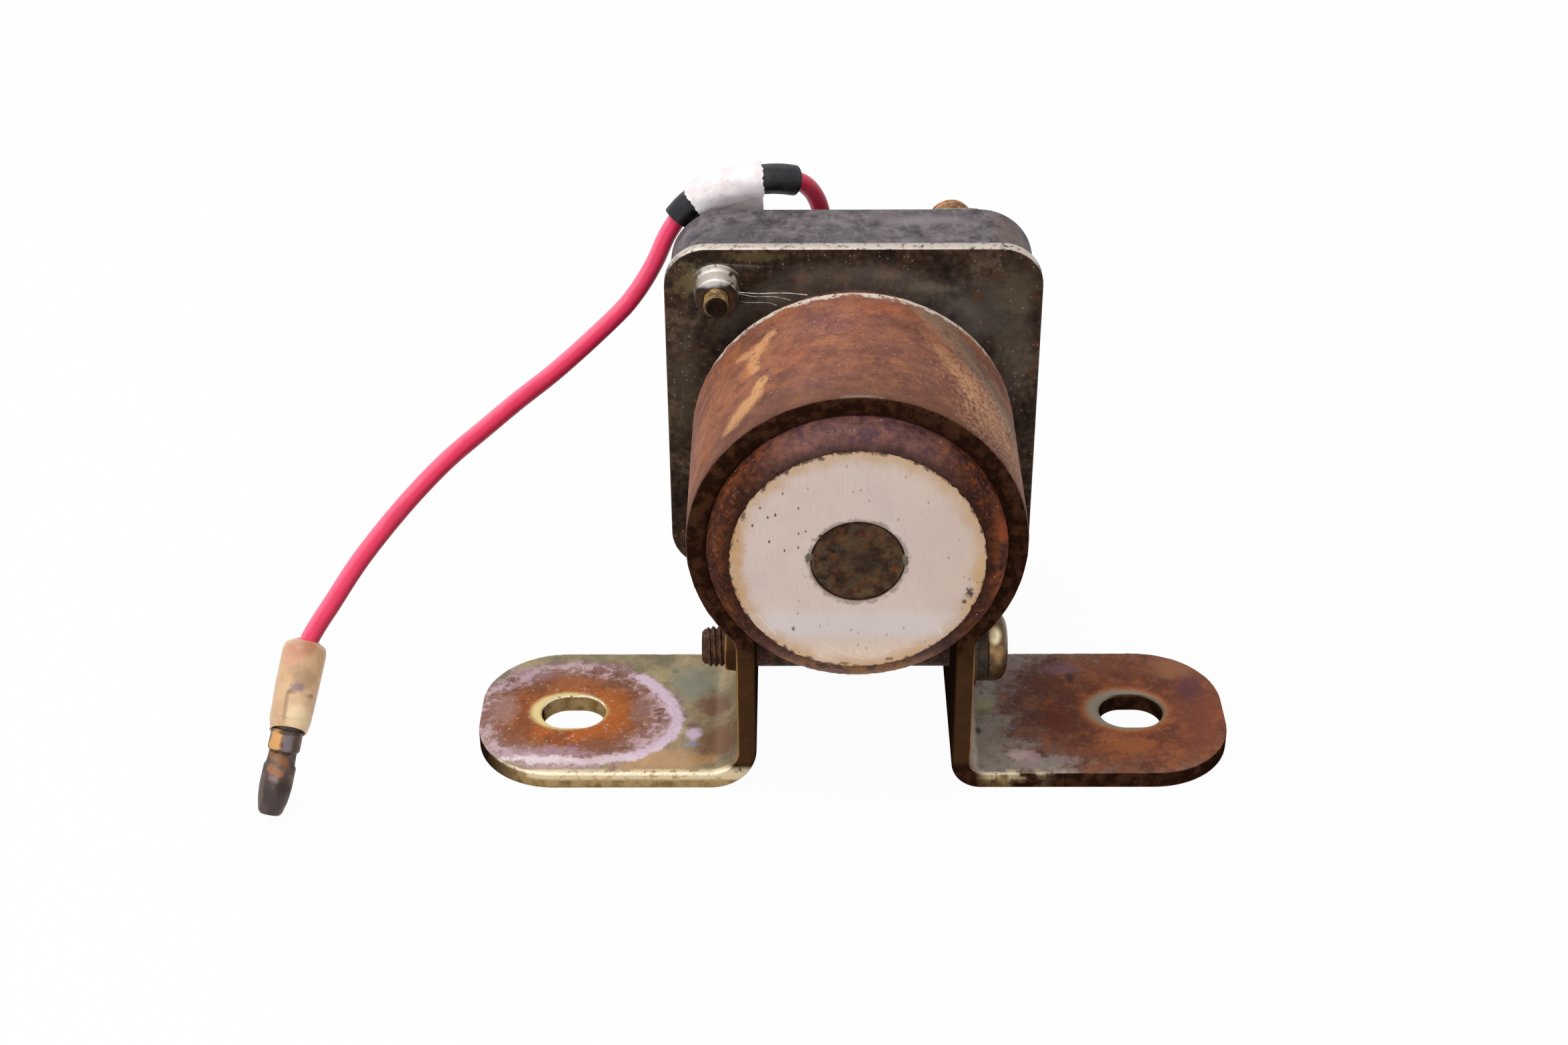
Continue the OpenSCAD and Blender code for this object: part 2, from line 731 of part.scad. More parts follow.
module contact_blades() color("#a85f35") {
    reach = norm([stud_x, stud_z]);
    turn = atan2(-stud_z, stud_x);
    on_axis(blade_front) for (side = [0, 180]) difference() {
        rotate([0, 0, turn + side]) {
            translate([0, -blade_w / 2, 0]) cube([reach, blade_w, blade_t]);
            translate([reach, 0, 0]) cylinder(d = blade_w, h = blade_t);
        }
        translate([0, 0, -past]) cylinder(r = bush_d / 2 + 1, h = blade_t + 2 * past);
        rotate([0, 0, turn + side]) translate([reach, 0, -past])
            cylinder(r = stud_d / 2 + seat_gap, h = blade_t + 2 * past);
    }
}

module stud_flat_washers() color("#6e5240")
    pair(stud_x, stud_z, cap_rear)
        ring(stud_flat_d / 2, stud_d / 2 + hole_fit, stud_flat_t);

module stud_lock_washers() color("#4a3c34")
    pair(stud_x, stud_z, cap_rear + stud_flat_t)
        spring_washer(stud_lock_d, stud_d + 2 * slack, stud_lock_t);

module stud_nuts() color("#8f5f3c")
    pair(stud_x, stud_z, nut_front)
        hex_nut(nut_flats, stud_d - 2 * thread_depth + 2 * thread_fit, nut_h);

// Rubber grommet in the cap's rear wall
module lead_grommet() color("#1d1c1e") {
    wall = cap_rear - cap_inner;
    lip = grommet_lip;
    length = wall + 2 * lip;
    collar = 0.7 * lip;
    on_axis(cap_inner - lip, lead_x, lead_z) difference() {
        union() {
            cylinder(d = grommet_flange_d - 0.8 * lip, h = lip);
            cylinder(d = grommet_d, h = length);
            translate([0, 0, length - lip])
                cylinder(d1 = grommet_flange_d, d2 = grommet_flange_d - lip, h = lip);
            translate([0, 0, length - slack])
                cylinder(d1 = grommet_d - 0.2 * lip, d2 = grommet_d - lip, h = collar + slack);
        }
        translate([0, 0, -past])
            cylinder(r = lead_d / 2 + 2 * thread_fit, h = length + collar + 2 * past);
    }
}

// Route of the fly lead, from its exit in the cap's rear face. It starts at the coil,
// rises behind the cap, bends over through its sleeve and sweeps down to the connector.
coil_end = flange_front - bobbin_gap - cap_rear;
lead_route = [
    [0, coil_end, 0], [0, -6, 0], [0, 0, 0], [0, 2.2, 0],
    [0, 4, 0.6], [-0.1, 5.5, 1.8], [-0.2, 6.6, 3.6], [-0.5, 7.1, 5.6],
    [-1, 6.8, 7.6], [-2, 5.8, 9.8], [-3.6, 4.5, 11.5], [-5.9, 3.6, 12.2],
    [-8.6, 3.2, 12.2], [-11.5, 3.1, 11.6], [-14.3, 3.1, 10.6], [-16.7, 3, 9.1],
    [-18.5, 2.7, 7.2], [-20, 2, 5], [-21.2, 0.9, 2.6], [-22.6, -0.3, 0.4],
    [-24.2, -1.7, -1.5], [-26, -3.1, -3.1], [-30, -6.2, -5.8], [-34, -9.5, -8.1],
    [-38.1, -12.9, -10], [-42.1, -16.4, -12], [-46.1, -20, -14], [-49.8, -23.5, -16.5],
    [-53.3, -26.9, -19.4], [-56.6, -30.2, -22.6], [-59.6, -33.5, -26.2],
    [-61.1, -35.1, -28], [-62.3, -36.6, -29.7], [-63.1, -38.2, -32], [-63.8, -40, -34.7]
];
lead_exit = [lead_x, cap_rear, axis_height + lead_z];
lead_path = [for (p = lead_route) lead_exit + p];
sleeve_path = [for (i = [10:17]) lead_path[i]];
tape_path = [for (i = [11:16]) lead_path[i]];
barrel_len = 4.5;

module lead_wire() color("#e0325a") rod_sweep(lead_path, round_profile(lead_d / 2, 8));

module lead_sleeve() color("#202024")
    tube_sweep(sleeve_path, round_profile(sleeve_d / 2, 12),
        round_profile((lead_d / 2 + slack) / cos(15), 12));

// Clear tape wrapped once round the sleeve, its tail stuck to itself and hanging down
function tail_profile() =
    [for (k = [0:15])
        let (a = 360 * k / 16, r = k == 12 ? tape_tail : tape_d / 2 / cos(11.25))
        r * [cos(a), sin(a)]];
module lead_tape() color("#d9cdd2")
    tube_sweep(tape_path, tail_profile(),
        round_profile((sleeve_d / 2 + slack) / cos(11.25), 16));

// The connector's own frame: its barrel's end at the origin, its tip along -Z
module at_connector() {
    end = lead_path[last(lead_path)];
    up = unit(lead_path[last(lead_path) - 1] - end);
    translate(end) rotate([0, acos(up[2]), atan2(up[1], up[0])]) children();
}

module connector_sleeve() color("#e8cda0") {
    outer = cover_d / 2;
    lip = 0.8;
    top = cover_len - barrel_len;
    at_connector() difference() {
        union() {
            translate([0, 0, -barrel_len]) cylinder(r = outer, h = cover_len - lip);
            translate([0, 0, top - lip]) cylinder(r1 = outer, r2 = outer - lip, h = lip);
        }
        translate([0, 0, -barrel_len - past])
            cylinder(r = bullet_d / 2 + slack, h = cover_len - lip + past);
        cylinder(r = lead_d / 2 + 4 * slack, h = cover_len);
    }
}

// Brass bullet: crimped barrel, collar, waist and a rounded nose
module bullet_terminal() color("#6a4a30") {
    r = bullet_d / 2;
    tip = barrel_len + bullet_out;
    collar_end = barrel_len + bullet_out / 4;
    waist_end = collar_end + bullet_out / 6;
    nose_start = waist_end + (tip - waist_end) * 0.35;
    at_connector() mirror([0, 0, 1]) difference() {
        rotate_extrude() polygon([
            [0, 0], [r - 0.1, 0], [r - 0.1, barrel_len], [r, barrel_len], [r, collar_end],
            [r - 0.25, collar_end], [r - 0.25, waist_end], [r, waist_end], [r, nose_start],
            [1.4, tip], [0, tip]
        ]);
        translate([0, 0, tip - 1.5]) cylinder(r = 0.6, h = 1.5 + past);
    }
}

bracket();
clamp_screw();
clamp_flat_washer();
clamp_lock_washer();
can();
end_ring();
fixed_core();
bobbin();
winding();
plunger();
plunger_stem();
insulating_bush();
contact_disc();
contact_spring();
retaining_clip();
return_spring();
flange_plate();
insulator_sheet();
terminal_cap();
cap_screws();
cap_screw_washers();
terminal_studs();
contact_blades();
stud_flat_washers();
stud_lock_washers();
stud_nuts();
lead_grommet();
lead_wire();
lead_sleeve();
lead_tape();
connector_sleeve();
bullet_terminal();
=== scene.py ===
import math

import bmesh
import bpy
from mathutils import Matrix, Vector, noise


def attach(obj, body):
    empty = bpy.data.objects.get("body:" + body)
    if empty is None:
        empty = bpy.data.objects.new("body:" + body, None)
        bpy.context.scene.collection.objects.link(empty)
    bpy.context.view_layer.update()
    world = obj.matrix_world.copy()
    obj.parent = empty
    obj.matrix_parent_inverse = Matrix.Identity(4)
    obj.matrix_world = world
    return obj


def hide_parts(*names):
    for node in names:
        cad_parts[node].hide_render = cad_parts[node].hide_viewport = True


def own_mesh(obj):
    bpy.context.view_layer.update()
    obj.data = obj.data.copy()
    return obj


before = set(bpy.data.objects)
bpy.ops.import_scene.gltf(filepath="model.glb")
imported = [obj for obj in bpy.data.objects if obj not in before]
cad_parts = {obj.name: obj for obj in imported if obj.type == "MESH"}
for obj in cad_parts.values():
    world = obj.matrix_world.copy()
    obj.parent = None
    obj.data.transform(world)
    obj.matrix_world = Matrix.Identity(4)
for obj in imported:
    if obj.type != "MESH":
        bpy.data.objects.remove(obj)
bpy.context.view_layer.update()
MM = 0.001

# The stand: the photograph's camera, soft light from above and a white floor.
# The floor shines white to the camera but still takes a faint shadow.
eye = Vector((-6.91, -251.52, 193.24)) * MM
pitch, yaw, roll = (math.radians(angle) for angle in (32.889, 0.346, -0.294))
ahead = Vector((
    -math.sin(yaw) * math.cos(pitch), math.cos(yaw) * math.cos(pitch), -math.sin(pitch)
))
level = Vector((math.cos(yaw), math.sin(yaw), 0))
above = level.cross(ahead)
right = level * math.cos(roll) + above * math.sin(roll)
up = above * math.cos(roll) - level * math.sin(roll)

camera = bpy.data.objects.new("camera", bpy.data.cameras.new("camera"))
camera.data.lens = 57.506
camera.data.sensor_width = 36
camera.data.clip_start = 0.01
camera.matrix_world = Matrix.Translation(eye) @ Matrix((right, up, -ahead)).transposed().to_4x4()
bpy.context.collection.objects.link(camera)
bpy.context.scene.camera = camera
bpy.context.scene.view_settings.view_transform = "Standard"


def lamp(name, place, target, size, power, tint=(1, 1, 1)):
    data = bpy.data.lights.new(name, "AREA")
    data.shape = "DISK"
    data.size = size
    data.energy = power
    data.color = tint
    obj = bpy.data.objects.new(name, data)
    obj.location = place
    obj.rotation_euler = (Vector(target) - Vector(place)).to_track_quat("-Z", "Y").to_euler()
    bpy.context.collection.objects.link(obj)


middle = (0, 0, 0.03)
lamp("soft_top", (-0.2, -0.1, 0.58), middle, 0.42, 2.0)
lamp("soft_front", (-0.05, -0.6, 0.3), middle, 0.45, 0.8, (1, 0.98, 0.95))
lamp("soft_rear", (-0.2, 0.4, 0.35), middle, 0.3, 0.5, (0.94, 0.96, 1))


# Node building, used by every material below
def feed(tree, socket, value):
    if isinstance(value, bpy.types.NodeSocket):
        tree.links.new(value, socket)
    elif value is not None:
        socket.default_value = value


def put(tree, kind, inputs=None, **settings):
    node = tree.nodes.new("ShaderNode" + kind)
    for name, value in settings.items():
        setattr(node, name, value)
    for name, value in (inputs or {}).items():
        feed(tree, node.inputs[name], value)
    return node


def calc(tree, operation, *values):
    return put(tree, "Math", dict(enumerate(values)), operation=operation).outputs[0]


def white_to_camera(tree, plain, amount):
    """The plain shader, turned to plain white by amount where the camera or a reflection looks."""
    path = put(tree, "LightPath").outputs
    seen = calc(tree, "MAXIMUM", path["Is Camera Ray"], path["Is Glossy Ray"])
    seen = calc(tree, "MAXIMUM", seen, path["Is Transmission Ray"])
    white = put(tree, "Emission", {"Color": (1, 1, 1, 1), "Strength": 1.0}).outputs[0]
    share = calc(tree, "MULTIPLY", seen, amount)
    return put(tree, "MixShader", {0: share, 1: plain, 2: white}).outputs[0]


world = bpy.data.worlds.new("studio")
world.use_nodes = True
bpy.context.scene.world = world
sky = world.node_tree.nodes["Background"]
sky.inputs["Color"].default_value = (1, 1, 1, 1)
sky.inputs["Strength"].default_value = 0.44
feed(world.node_tree, world.node_tree.nodes["World Output"].inputs["Surface"],
     white_to_camera(world.node_tree, sky.outputs[0], 1.0))

floor_side = 1.5
bpy.ops.mesh.primitive_plane_add(size=2 * floor_side, location=(0, 0, -0.02 * MM))
floor = bpy.context.object
floor.name = "floor"
paint = bpy.data.materials.new("floor_white")
paint.use_nodes = True
plain = paint.node_tree.nodes["Principled BSDF"]
plain.inputs["Base Color"].default_value = (0.8, 0.8, 0.8, 1)
plain.inputs["Roughness"].default_value = 0.9
feed(paint.node_tree, paint.node_tree.nodes["Material Output"].inputs["Surface"],
     white_to_camera(paint.node_tree, plain.outputs[0], 0.96))
floor.data.materials.append(paint)


# Effects: what the grime, rust and wear of several materials have in common
def colour(code):
    """Linear colour of one written as it shows on a screen."""
    parts = [int(code[i:i + 2], 16) / 255 for i in (1, 3, 5)]
    return tuple(c / 12.92 if c <= 0.04045 else ((c + 0.055) / 1.055) ** 2.4 for c in parts) + (1,)


def graded(tree, start, mask, change):
    """start plus mask times change."""
    return calc(tree, "ADD", start, calc(tree, "MULTIPLY", mask, change))


def lowered(tree, start, mask, change):
    """start less mask times change."""
    return calc(tree, "SUBTRACT", start, calc(tree, "MULTIPLY", mask, change))


def blended(tree, first, second, share):
    """share of the first value and the rest of the second."""
    return graded(tree, calc(tree, "MULTIPLY", first, share), second, 1 - share)


def product(tree, *masks):
    """All the masks multiplied together."""
    whole = masks[0]
    for mask in masks[1:]:
        whole = calc(tree, "MULTIPLY", whole, mask)
    return whole


def inverse(tree, mask):
    return calc(tree, "SUBTRACT", 1.0, mask)


def vector_calc(tree, operation, *values):
    sockets = (0, 3) if operation == "SCALE" else range(len(values))
    node = put(tree, "VectorMath", dict(zip(sockets, values)), operation=operation)
    return node.outputs["Value" if operation in ("LENGTH", "DOT_PRODUCT") else 0]


def split(tree, vector):
    return put(tree, "SeparateXYZ", {0: vector}).outputs


def facing_of(tree):
    """Which way the face looks, split into X, Y and Z."""
    return split(tree, put(tree, "NewGeometry").outputs["Normal"])


def mixed(tree, share, first, second):
    return put(tree, "Mix", {0: share, 6: first, 7: second}, data_type="RGBA").outputs[2]


def overlaid(tree, base, mask, code, share=None):
    """base, a socket or a colour's code, with another colour over it where the mask is 1."""
    if share is not None:
        mask = calc(tree, "MULTIPLY", mask, share)
    return mixed(tree, mask, colour(base) if isinstance(base, str) else base, colour(code))


def layered(tree, base, layers):
    """base with layers over it in turn: (mask, colour) or (mask, colour, share) each."""
    for layer in layers:
        base = overlaid(tree, base, *layer)
    return base


def between(tree, value, low, high):
    """0 under low, 1 over high and a soft step between them."""
    node = put(tree, "MapRange", {"Value": value, "From Min": low, "From Max": high},
               interpolation_type="SMOOTHSTEP")
    return node.outputs["Result"]


def shades(tree, value, *stops):
    """Colour ramp over value: each stop is its place and its colour."""
    node = put(tree, "ValToRGB", {"Fac": value})
    points = node.color_ramp.elements
    while len(points) < len(stops):
        points.new(0.5)
    for point, (place, code) in zip(points, stops):
        point.position = place
        point.color = colour(code)
    return node.outputs["Color"]


def effect(name, outputs, **inputs):
    """A new node group: its tree, the sockets that it is given and those that it fills."""
    tree = bpy.data.node_groups.new(name, "ShaderNodeTree")
    for way, labels in (("INPUT", inputs), ("OUTPUT", outputs)):
        for label in labels:
            is_vector = label in ("Place", "Centre", "Reach", "Start", "End")
            kind = "NodeSocketVector" if is_vector else "NodeSocketFloat"
            socket = tree.interface.new_socket(label, in_out=way, socket_type=kind)
            if way == "INPUT" and inputs[label] is not None:
                socket.default_value = inputs[label]
    given = tree.nodes.new("NodeGroupInput").outputs
    result = tree.nodes.new("NodeGroupOutput").inputs
    return tree, given, result


def use(tree, group, **values):
    node = tree.nodes.new("ShaderNodeGroup")
    node.node_tree = group
    for label, value in values.items():
        feed(tree, node.inputs[label], value)
    return node.outputs


def noise_at(tree, place, size, detail, roughness):
    """Noise with lumps about size millimetres wide."""
    return put(tree, "TexNoise", {
        "Vector": place, "Scale": calc(tree, "DIVIDE", 1.0, size), "Detail": detail,
        "Roughness": roughness,
    }).outputs["Fac"]


def torn_at(tree, given, strength):
    """How far an effect's ragged edge lies off its true line."""
    noisy = noise_at(tree, given["Place"], given["Grain"], 6.0, 0.68)
    return calc(tree, "MULTIPLY", calc(tree, "SUBTRACT", noisy, 0.5), strength)


def inner_side(tree, reach, soft):
    """1 where reach is small, easing to 0 where it comes to 1."""
    return inverse(tree, between(tree, reach, inverse(tree, soft), 1.0))


# Place on the piece in millimetres
PLACE, given, result = effect("place", ["Place"])
metres = put(PLACE, "TexCoord").outputs["Object"]
feed(PLACE, result["Place"], vector_calc(PLACE, "SCALE", metres, 1000))

# Clouds: soft patches about Size millimetres wide, from 0 to 1
CLOUDS, given, result = effect("clouds", ["Mask", "Value"], Place=None, Size=5.0, Detail=5.0,
                               Low=0.4, High=0.6)
noisy = noise_at(CLOUDS, given["Place"], given["Size"], given["Detail"], 0.62)
feed(CLOUDS, result["Value"], noisy)
feed(CLOUDS, result["Mask"], between(CLOUDS, noisy, given["Low"], given["High"]))


def clouds(tree, place, size, low, high, detail=5.0):
    """Patches of the clouds effect: 0 where its noise is under low, 1 where it is over high."""
    return use(tree, CLOUDS, Place=place, Size=size, Low=low, High=high, Detail=detail)["Mask"]


def cloudy(tree, place, size, detail=5.0):
    """The plain noise of the clouds effect."""
    return use(tree, CLOUDS, Place=place, Size=size, Detail=detail)["Value"]


# Stain: 1 inside a ragged ball round a point, 0 outside; Reach is its size each way
STAIN, given, result = effect("stain", ["Mask", "Value"], Place=None, Centre=None, Reach=(5, 5, 5),
                              Soft=0.2, Ragged=0.3, Grain=2.0)
away = vector_calc(STAIN, "SUBTRACT", given["Place"], given["Centre"])
away = vector_calc(STAIN, "DIVIDE", away, given["Reach"])
torn = torn_at(STAIN, given, calc(STAIN, "MULTIPLY", given["Ragged"], 1.8))
reach = calc(STAIN, "ADD", vector_calc(STAIN, "LENGTH", away), torn)
feed(STAIN, result["Value"], reach)
feed(STAIN, result["Mask"], inner_side(STAIN, reach, given["Soft"]))

# Streak: 1 along a ragged line from Start to End, 0 away from it
STREAK, given, result = effect("streak", ["Mask"], Place=None, Start=None, End=None, Width=0.5,
                               Soft=0.5, Ragged=0.5, Grain=1.0)
whole = vector_calc(STREAK, "SUBTRACT", given["End"], given["Start"])
gone = vector_calc(STREAK, "SUBTRACT", given["Place"], given["Start"])
along_line = vector_calc(STREAK, "DOT_PRODUCT", gone, whole)
square = vector_calc(STREAK, "DOT_PRODUCT", whole, whole)
share = put(STREAK, "Math", {0: along_line, 1: square}, operation="DIVIDE", use_clamp=True).outputs[0]
off = vector_calc(STREAK, "SUBTRACT", gone, vector_calc(STREAK, "SCALE", whole, share))
off = calc(STREAK, "DIVIDE", vector_calc(STREAK, "LENGTH", off), given["Width"])
reach = calc(STREAK, "ADD", off, torn_at(STREAK, given, given["Ragged"]))
feed(STREAK, result["Mask"], inner_side(STREAK, reach, given["Soft"]))

# Specks: small round dots scattered over Size millimetre cells
SPECKS, given, result = effect("specks", ["Mask"], Place=None, Size=1.0, Amount=0.3, Dot=0.25)
cells = put(SPECKS, "TexVoronoi", {
    "Vector": given["Place"], "Scale": calc(SPECKS, "DIVIDE", 1.0, given["Size"]),
}).outputs
chosen = put(SPECKS, "SeparateColor", {"Color": cells["Color"]}).outputs["Red"]
picked = calc(SPECKS, "LESS_THAN", chosen, given["Amount"])
far = between(SPECKS, cells["Distance"], calc(SPECKS, "MULTIPLY", given["Dot"], 0.6), given["Dot"])
feed(SPECKS, result["Mask"], product(SPECKS, inverse(SPECKS, far), picked))

# Rust: the mottling of iron rust as a value, and its pitted height
RUST, given, result = effect("rust", ["Height", "Value"], Place=None, Size=6.0)
broad = cloudy(RUST, given["Place"], given["Size"], 8.0)
fine = cloudy(RUST, given["Place"], 0.8, 6.0)
pits = put(RUST, "TexVoronoi", {"Vector": given["Place"], "Scale": 2.2}, feature="SMOOTH_F1").outputs
feed(RUST, result["Value"], blended(RUST, broad, fine, 0.6))
feed(RUST, result["Height"], graded(RUST, calc(RUST, "MULTIPLY", fine, 0.8), pits["Distance"], 0.25))

# Dust: what settles on faces that look up
DUST, given, result = effect("dust", ["Mask"], Place=None, Amount=0.5, Size=3.0)
lie = between(DUST, facing_of(DUST)["Z"], -0.1, 1.0)
patchy = clouds(DUST, given["Place"], given["Size"], 0.3, 0.75)
feed(DUST, result["Mask"], product(DUST, lie, patchy, given["Amount"]))


def material(name):
    """A new material: its node tree, its shader and the place in millimetres."""
    made = bpy.data.materials.new(name)
    made.use_nodes = True
    tree = made.node_tree
    return made, tree, tree.nodes["Principled BSDF"], use(tree, PLACE)["Place"]


def bumped(tree, shader, height, depth):
    """Raises the surface by height times depth millimetres."""
    bump = put(tree, "Bump", {"Height": height, "Distance": depth * MM, "Strength": 1.0})
    shade(tree, shader, Normal=bump.outputs["Normal"])


def shade(tree, shader, **looks):
    """Sets the shader's inputs, each to a number, a colour or what a socket gives."""
    for label, value in looks.items():
        feed(tree, shader.inputs[label.replace("_", " ")], value)


def marked(tree, place, base, marks, soft=0.7):
    """base with stains laid over it: (centre, reach, colour, strength) each, with ragged and grain
    added where they aren't 0.9."""
    for centre, reach, code, strength, *torn in marks:
        ragged, grain = torn or (0.9, 0.9)
        sizes_of = reach if isinstance(reach, tuple) else (reach, reach, reach)
        mask = use(tree, STAIN, Place=place, Centre=centre, Reach=sizes_of, Soft=soft, Ragged=ragged,
                   Grain=grain)["Mask"]
        base = overlaid(tree, base, mask, code, strength)
    return base


def streaked(tree, place, base, lines):
    """base with lines drawn over it: (points, width, colour, strength, ragged, grain) each."""
    for points, width, code, strength, ragged, grain in lines:
        masks = [use(tree, STREAK, Place=place, Start=a, End=b, Width=width, Soft=0.6, Ragged=ragged,
                     Grain=grain)["Mask"] for a, b in zip(points, points[1:])]
        whole_mask = masks[0]
        for mask in masks[1:]:
            whole_mask = calc(tree, "MAXIMUM", whole_mask, mask)
        base = overlaid(tree, base, whole_mask, code, strength)
    return base


def finish_piece(obj, paint, body, *nodes, slot=None, sharp=35):
    """Shades, paints and fixes a piece to its body, in place of the CAD nodes named."""
    if obj.type == "MESH":
        obj.data.polygons.foreach_set("use_smooth", [True] * len(obj.data.polygons))
        obj.data.set_sharp_from_angle(angle=math.radians(sharp))
    obj.data.materials.clear()
    obj.data.materials.append(paint)
    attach(obj, body)
    if nodes:
        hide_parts(*nodes)
    return obj


def repaint(obj, paint, where):
    """Gives a paint of their own to the faces whose centre passes the test."""
    obj.data.materials.append(paint)
    for face in obj.data.polygons:
        if where(face.center):
            face.material_index = len(obj.data.materials) - 1


def skin(name, rings, hollow=False):
    """Mesh over rings of points. Its ends are capped, or joined to each other when hollow."""
    mesh = bpy.data.meshes.new(name)
    obj = bpy.data.objects.new(name, mesh)
    bpy.context.collection.objects.link(obj)
    shape = bmesh.new()
    rows = [[shape.verts.new(point) for point in ring] for ring in rings]
    count = len(rows[0])
    pairs = list(zip(rows, rows[1:])) + ([(rows[-1], rows[0])] if hollow else [])
    for low, high in pairs:
        for k in range(count):
            n = (k + 1) % count
            shape.faces.new((low[k], low[n], high[n], high[k]))
    if not hollow:
        shape.faces.new(list(reversed(rows[0])))
        shape.faces.new(rows[-1])
    bmesh.ops.recalc_face_normals(shape, faces=shape.faces)
    shape.to_mesh(mesh)
    shape.free()
    return obj


# Fly lead: one red insulated wire from the coil, out of the cap and down to its connector.
# It leaves through a grommet, bends over behind the cap and keeps the set of years.
axis_height = 35.4
exit_point = Vector((-3.2, 29.3, 48.0))
lead_d = 2.3
lead_route = [
    (0, -12.1, 0), (0, -6, 0), (0, 0, 0), (0, 2.2, 0),
    (0, 4, 0.6), (-0.1, 5.5, 1.8), (-0.2, 6.6, 3.6), (-0.5, 7.1, 5.6),
    (-1, 6.8, 7.6), (-2, 5.8, 9.8), (-3.6, 4.5, 11.5), (-5.9, 3.6, 12.2),
    (-8.6, 3.2, 12.2), (-11.5, 3.1, 11.6), (-14.3, 3.1, 10.6), (-16.7, 3, 9.1),
    (-18.5, 2.7, 7.2), (-20, 2, 5), (-21.2, 0.9, 2.6), (-22.6, -0.3, 0.4),
    (-24.2, -1.7, -1.5), (-26, -3.1, -3.1), (-30, -6.2, -5.8), (-34, -9.5, -8.1),
    (-38.1, -12.9, -10), (-42.1, -16.4, -12), (-46.1, -20, -14), (-49.8, -23.5, -16.5),
    (-53.3, -26.9, -19.4), (-56.6, -30.2, -22.6), (-59.6, -33.5, -26.2),
    (-61.1, -35.1, -28), (-62.3, -36.6, -29.7), (-63.1, -38.2, -32), (-63.8, -40, -34.7),
]
lead_points = [(exit_point + Vector(p)) * MM for p in lead_route]


def eased_line(points, steps):
    """A smooth line through the points, steps pieces from one to the next."""
    ends = [2 * points[0] - points[1]] + list(points) + [2 * points[-1] - points[-2]]
    line = []
    for a, b, c, d in zip(ends, ends[1:], ends[2:], ends[3:]):
        for i in range(steps):
            t = i / steps
            line.append(0.5 * (
                2 * b + (c - a) * t + (2 * a - 5 * b + 4 * c - d) * t ** 2
                + (3 * b - 3 * c + d - a) * t ** 3
            ))
    return line + [points[-1]]


lead_line = eased_line(lead_points, 4)
curve = bpy.data.curves.new("lead_wire", "CURVE")
curve.dimensions = "3D"
curve.bevel_depth = lead_d / 2 * MM
curve.bevel_resolution = 5
curve.use_fill_caps = True
spline = curve.splines.new("POLY")
spline.points.add(len(lead_line) - 1)
for point, place in zip(spline.points, lead_line):
    point.co = (*place, 1)
spline.use_smooth = True
wire = bpy.data.objects.new("red_wire", curve)
bpy.context.collection.objects.link(wire)

paint, tree, shader, place = material("red_insulation")
grime = clouds(tree, place, 5.0, 0.45, 0.75)
streaks = clouds(tree, place, 1.2, 0.5, 0.8)
base = layered(tree, "#ea3560", [
    (grime, "#b82848", 0.35),
    (streaks, "#e8788e", 0.12),
])
# Painted shade and highlight: the wire's lower right side is painted dark red and its upper left side
# pale pink, as if lit from the upper left.
wire_side = facing_of(tree)
shaded = calc(tree, "SUBTRACT", calc(tree, "MULTIPLY", wire_side["X"], 0.75),
              calc(tree, "MULTIPLY", wire_side["Z"], 0.65))
base = layered(tree, base, [
    (between(tree, shaded, -0.1, 0.75), "#961828", 0.7),
    (between(tree, shaded, -0.45, -0.95), "#ff86a2", 0.65),
])
shade(tree, shader, Base_Color=base, Roughness=graded(tree, 0.36, grime, 0.2), Specular_IOR_Level=0.35,
      Subsurface_Weight=0.15, Subsurface_Radius=(0.8 * MM, 0.2 * MM, 0.2 * MM))
bumped(tree, shader, streaks, 0.01)
finish_piece(wire, paint, "housing", "lead_wire", slot="red_insulation")


# Black sleeve on the lead: a short length of soft tube, open at both ends, that a strip of
# clear tape holds. Years of tape and dirt have left it flattened and wrinkled.
def frames(line):
    """(point, across, over) along a line, the two side vectors carried without twist."""
    over = Vector((0, 0, 1))
    made = []
    for i, point in enumerate(line):
        forward = (line[min(i + 1, len(line) - 1)] - line[max(i - 1, 0)]).normalized()
        over = (over - over.dot(forward) * forward).normalized()
        made.append((point, forward.cross(over), over))
    return made


def around(frame_at, radius_at, steps):
    """Ring of points about one frame of a line; radius_at gives millimetres for an angle."""
    point, across, over = frame_at
    ring = []
    for k in range(steps):
        angle = 2 * math.pi * k / steps
        size = radius_at(angle) * MM
        ring.append(point + across * math.cos(angle) * size + over * math.sin(angle) * size)
    return ring


def part_of(line, start, end, count):
    """count points evenly spread over a line, from one share of it to another."""
    lengths = [0]
    for a, b in zip(line, line[1:]):
        lengths.append(lengths[-1] + (b - a).length)
    points = []
    for i in range(count):
        goal = lengths[-1] * (start + (end - start) * i / (count - 1))
        k = max(j for j in range(len(lengths) - 1) if lengths[j] <= goal or j == 0)
        share = (goal - lengths[k]) / (lengths[k + 1] - lengths[k])
        points.append(line[k].lerp(line[k + 1], share))
    return points


def ripple(point, size, seed=0.0):
    """Smooth noise from -1 to 1 at a point, with lumps about size millimetres wide."""
    return noise.noise(Vector(point) / (size * MM) + Vector((seed, 2.3 * seed, 0.7)))


sleeve_steps = 40
sleeve_line = eased_line(lead_points[10:18], 6)
sleeve_rings = part_of(sleeve_line, 0.02, 0.86, 60)
sleeve_frames = frames(sleeve_rings)


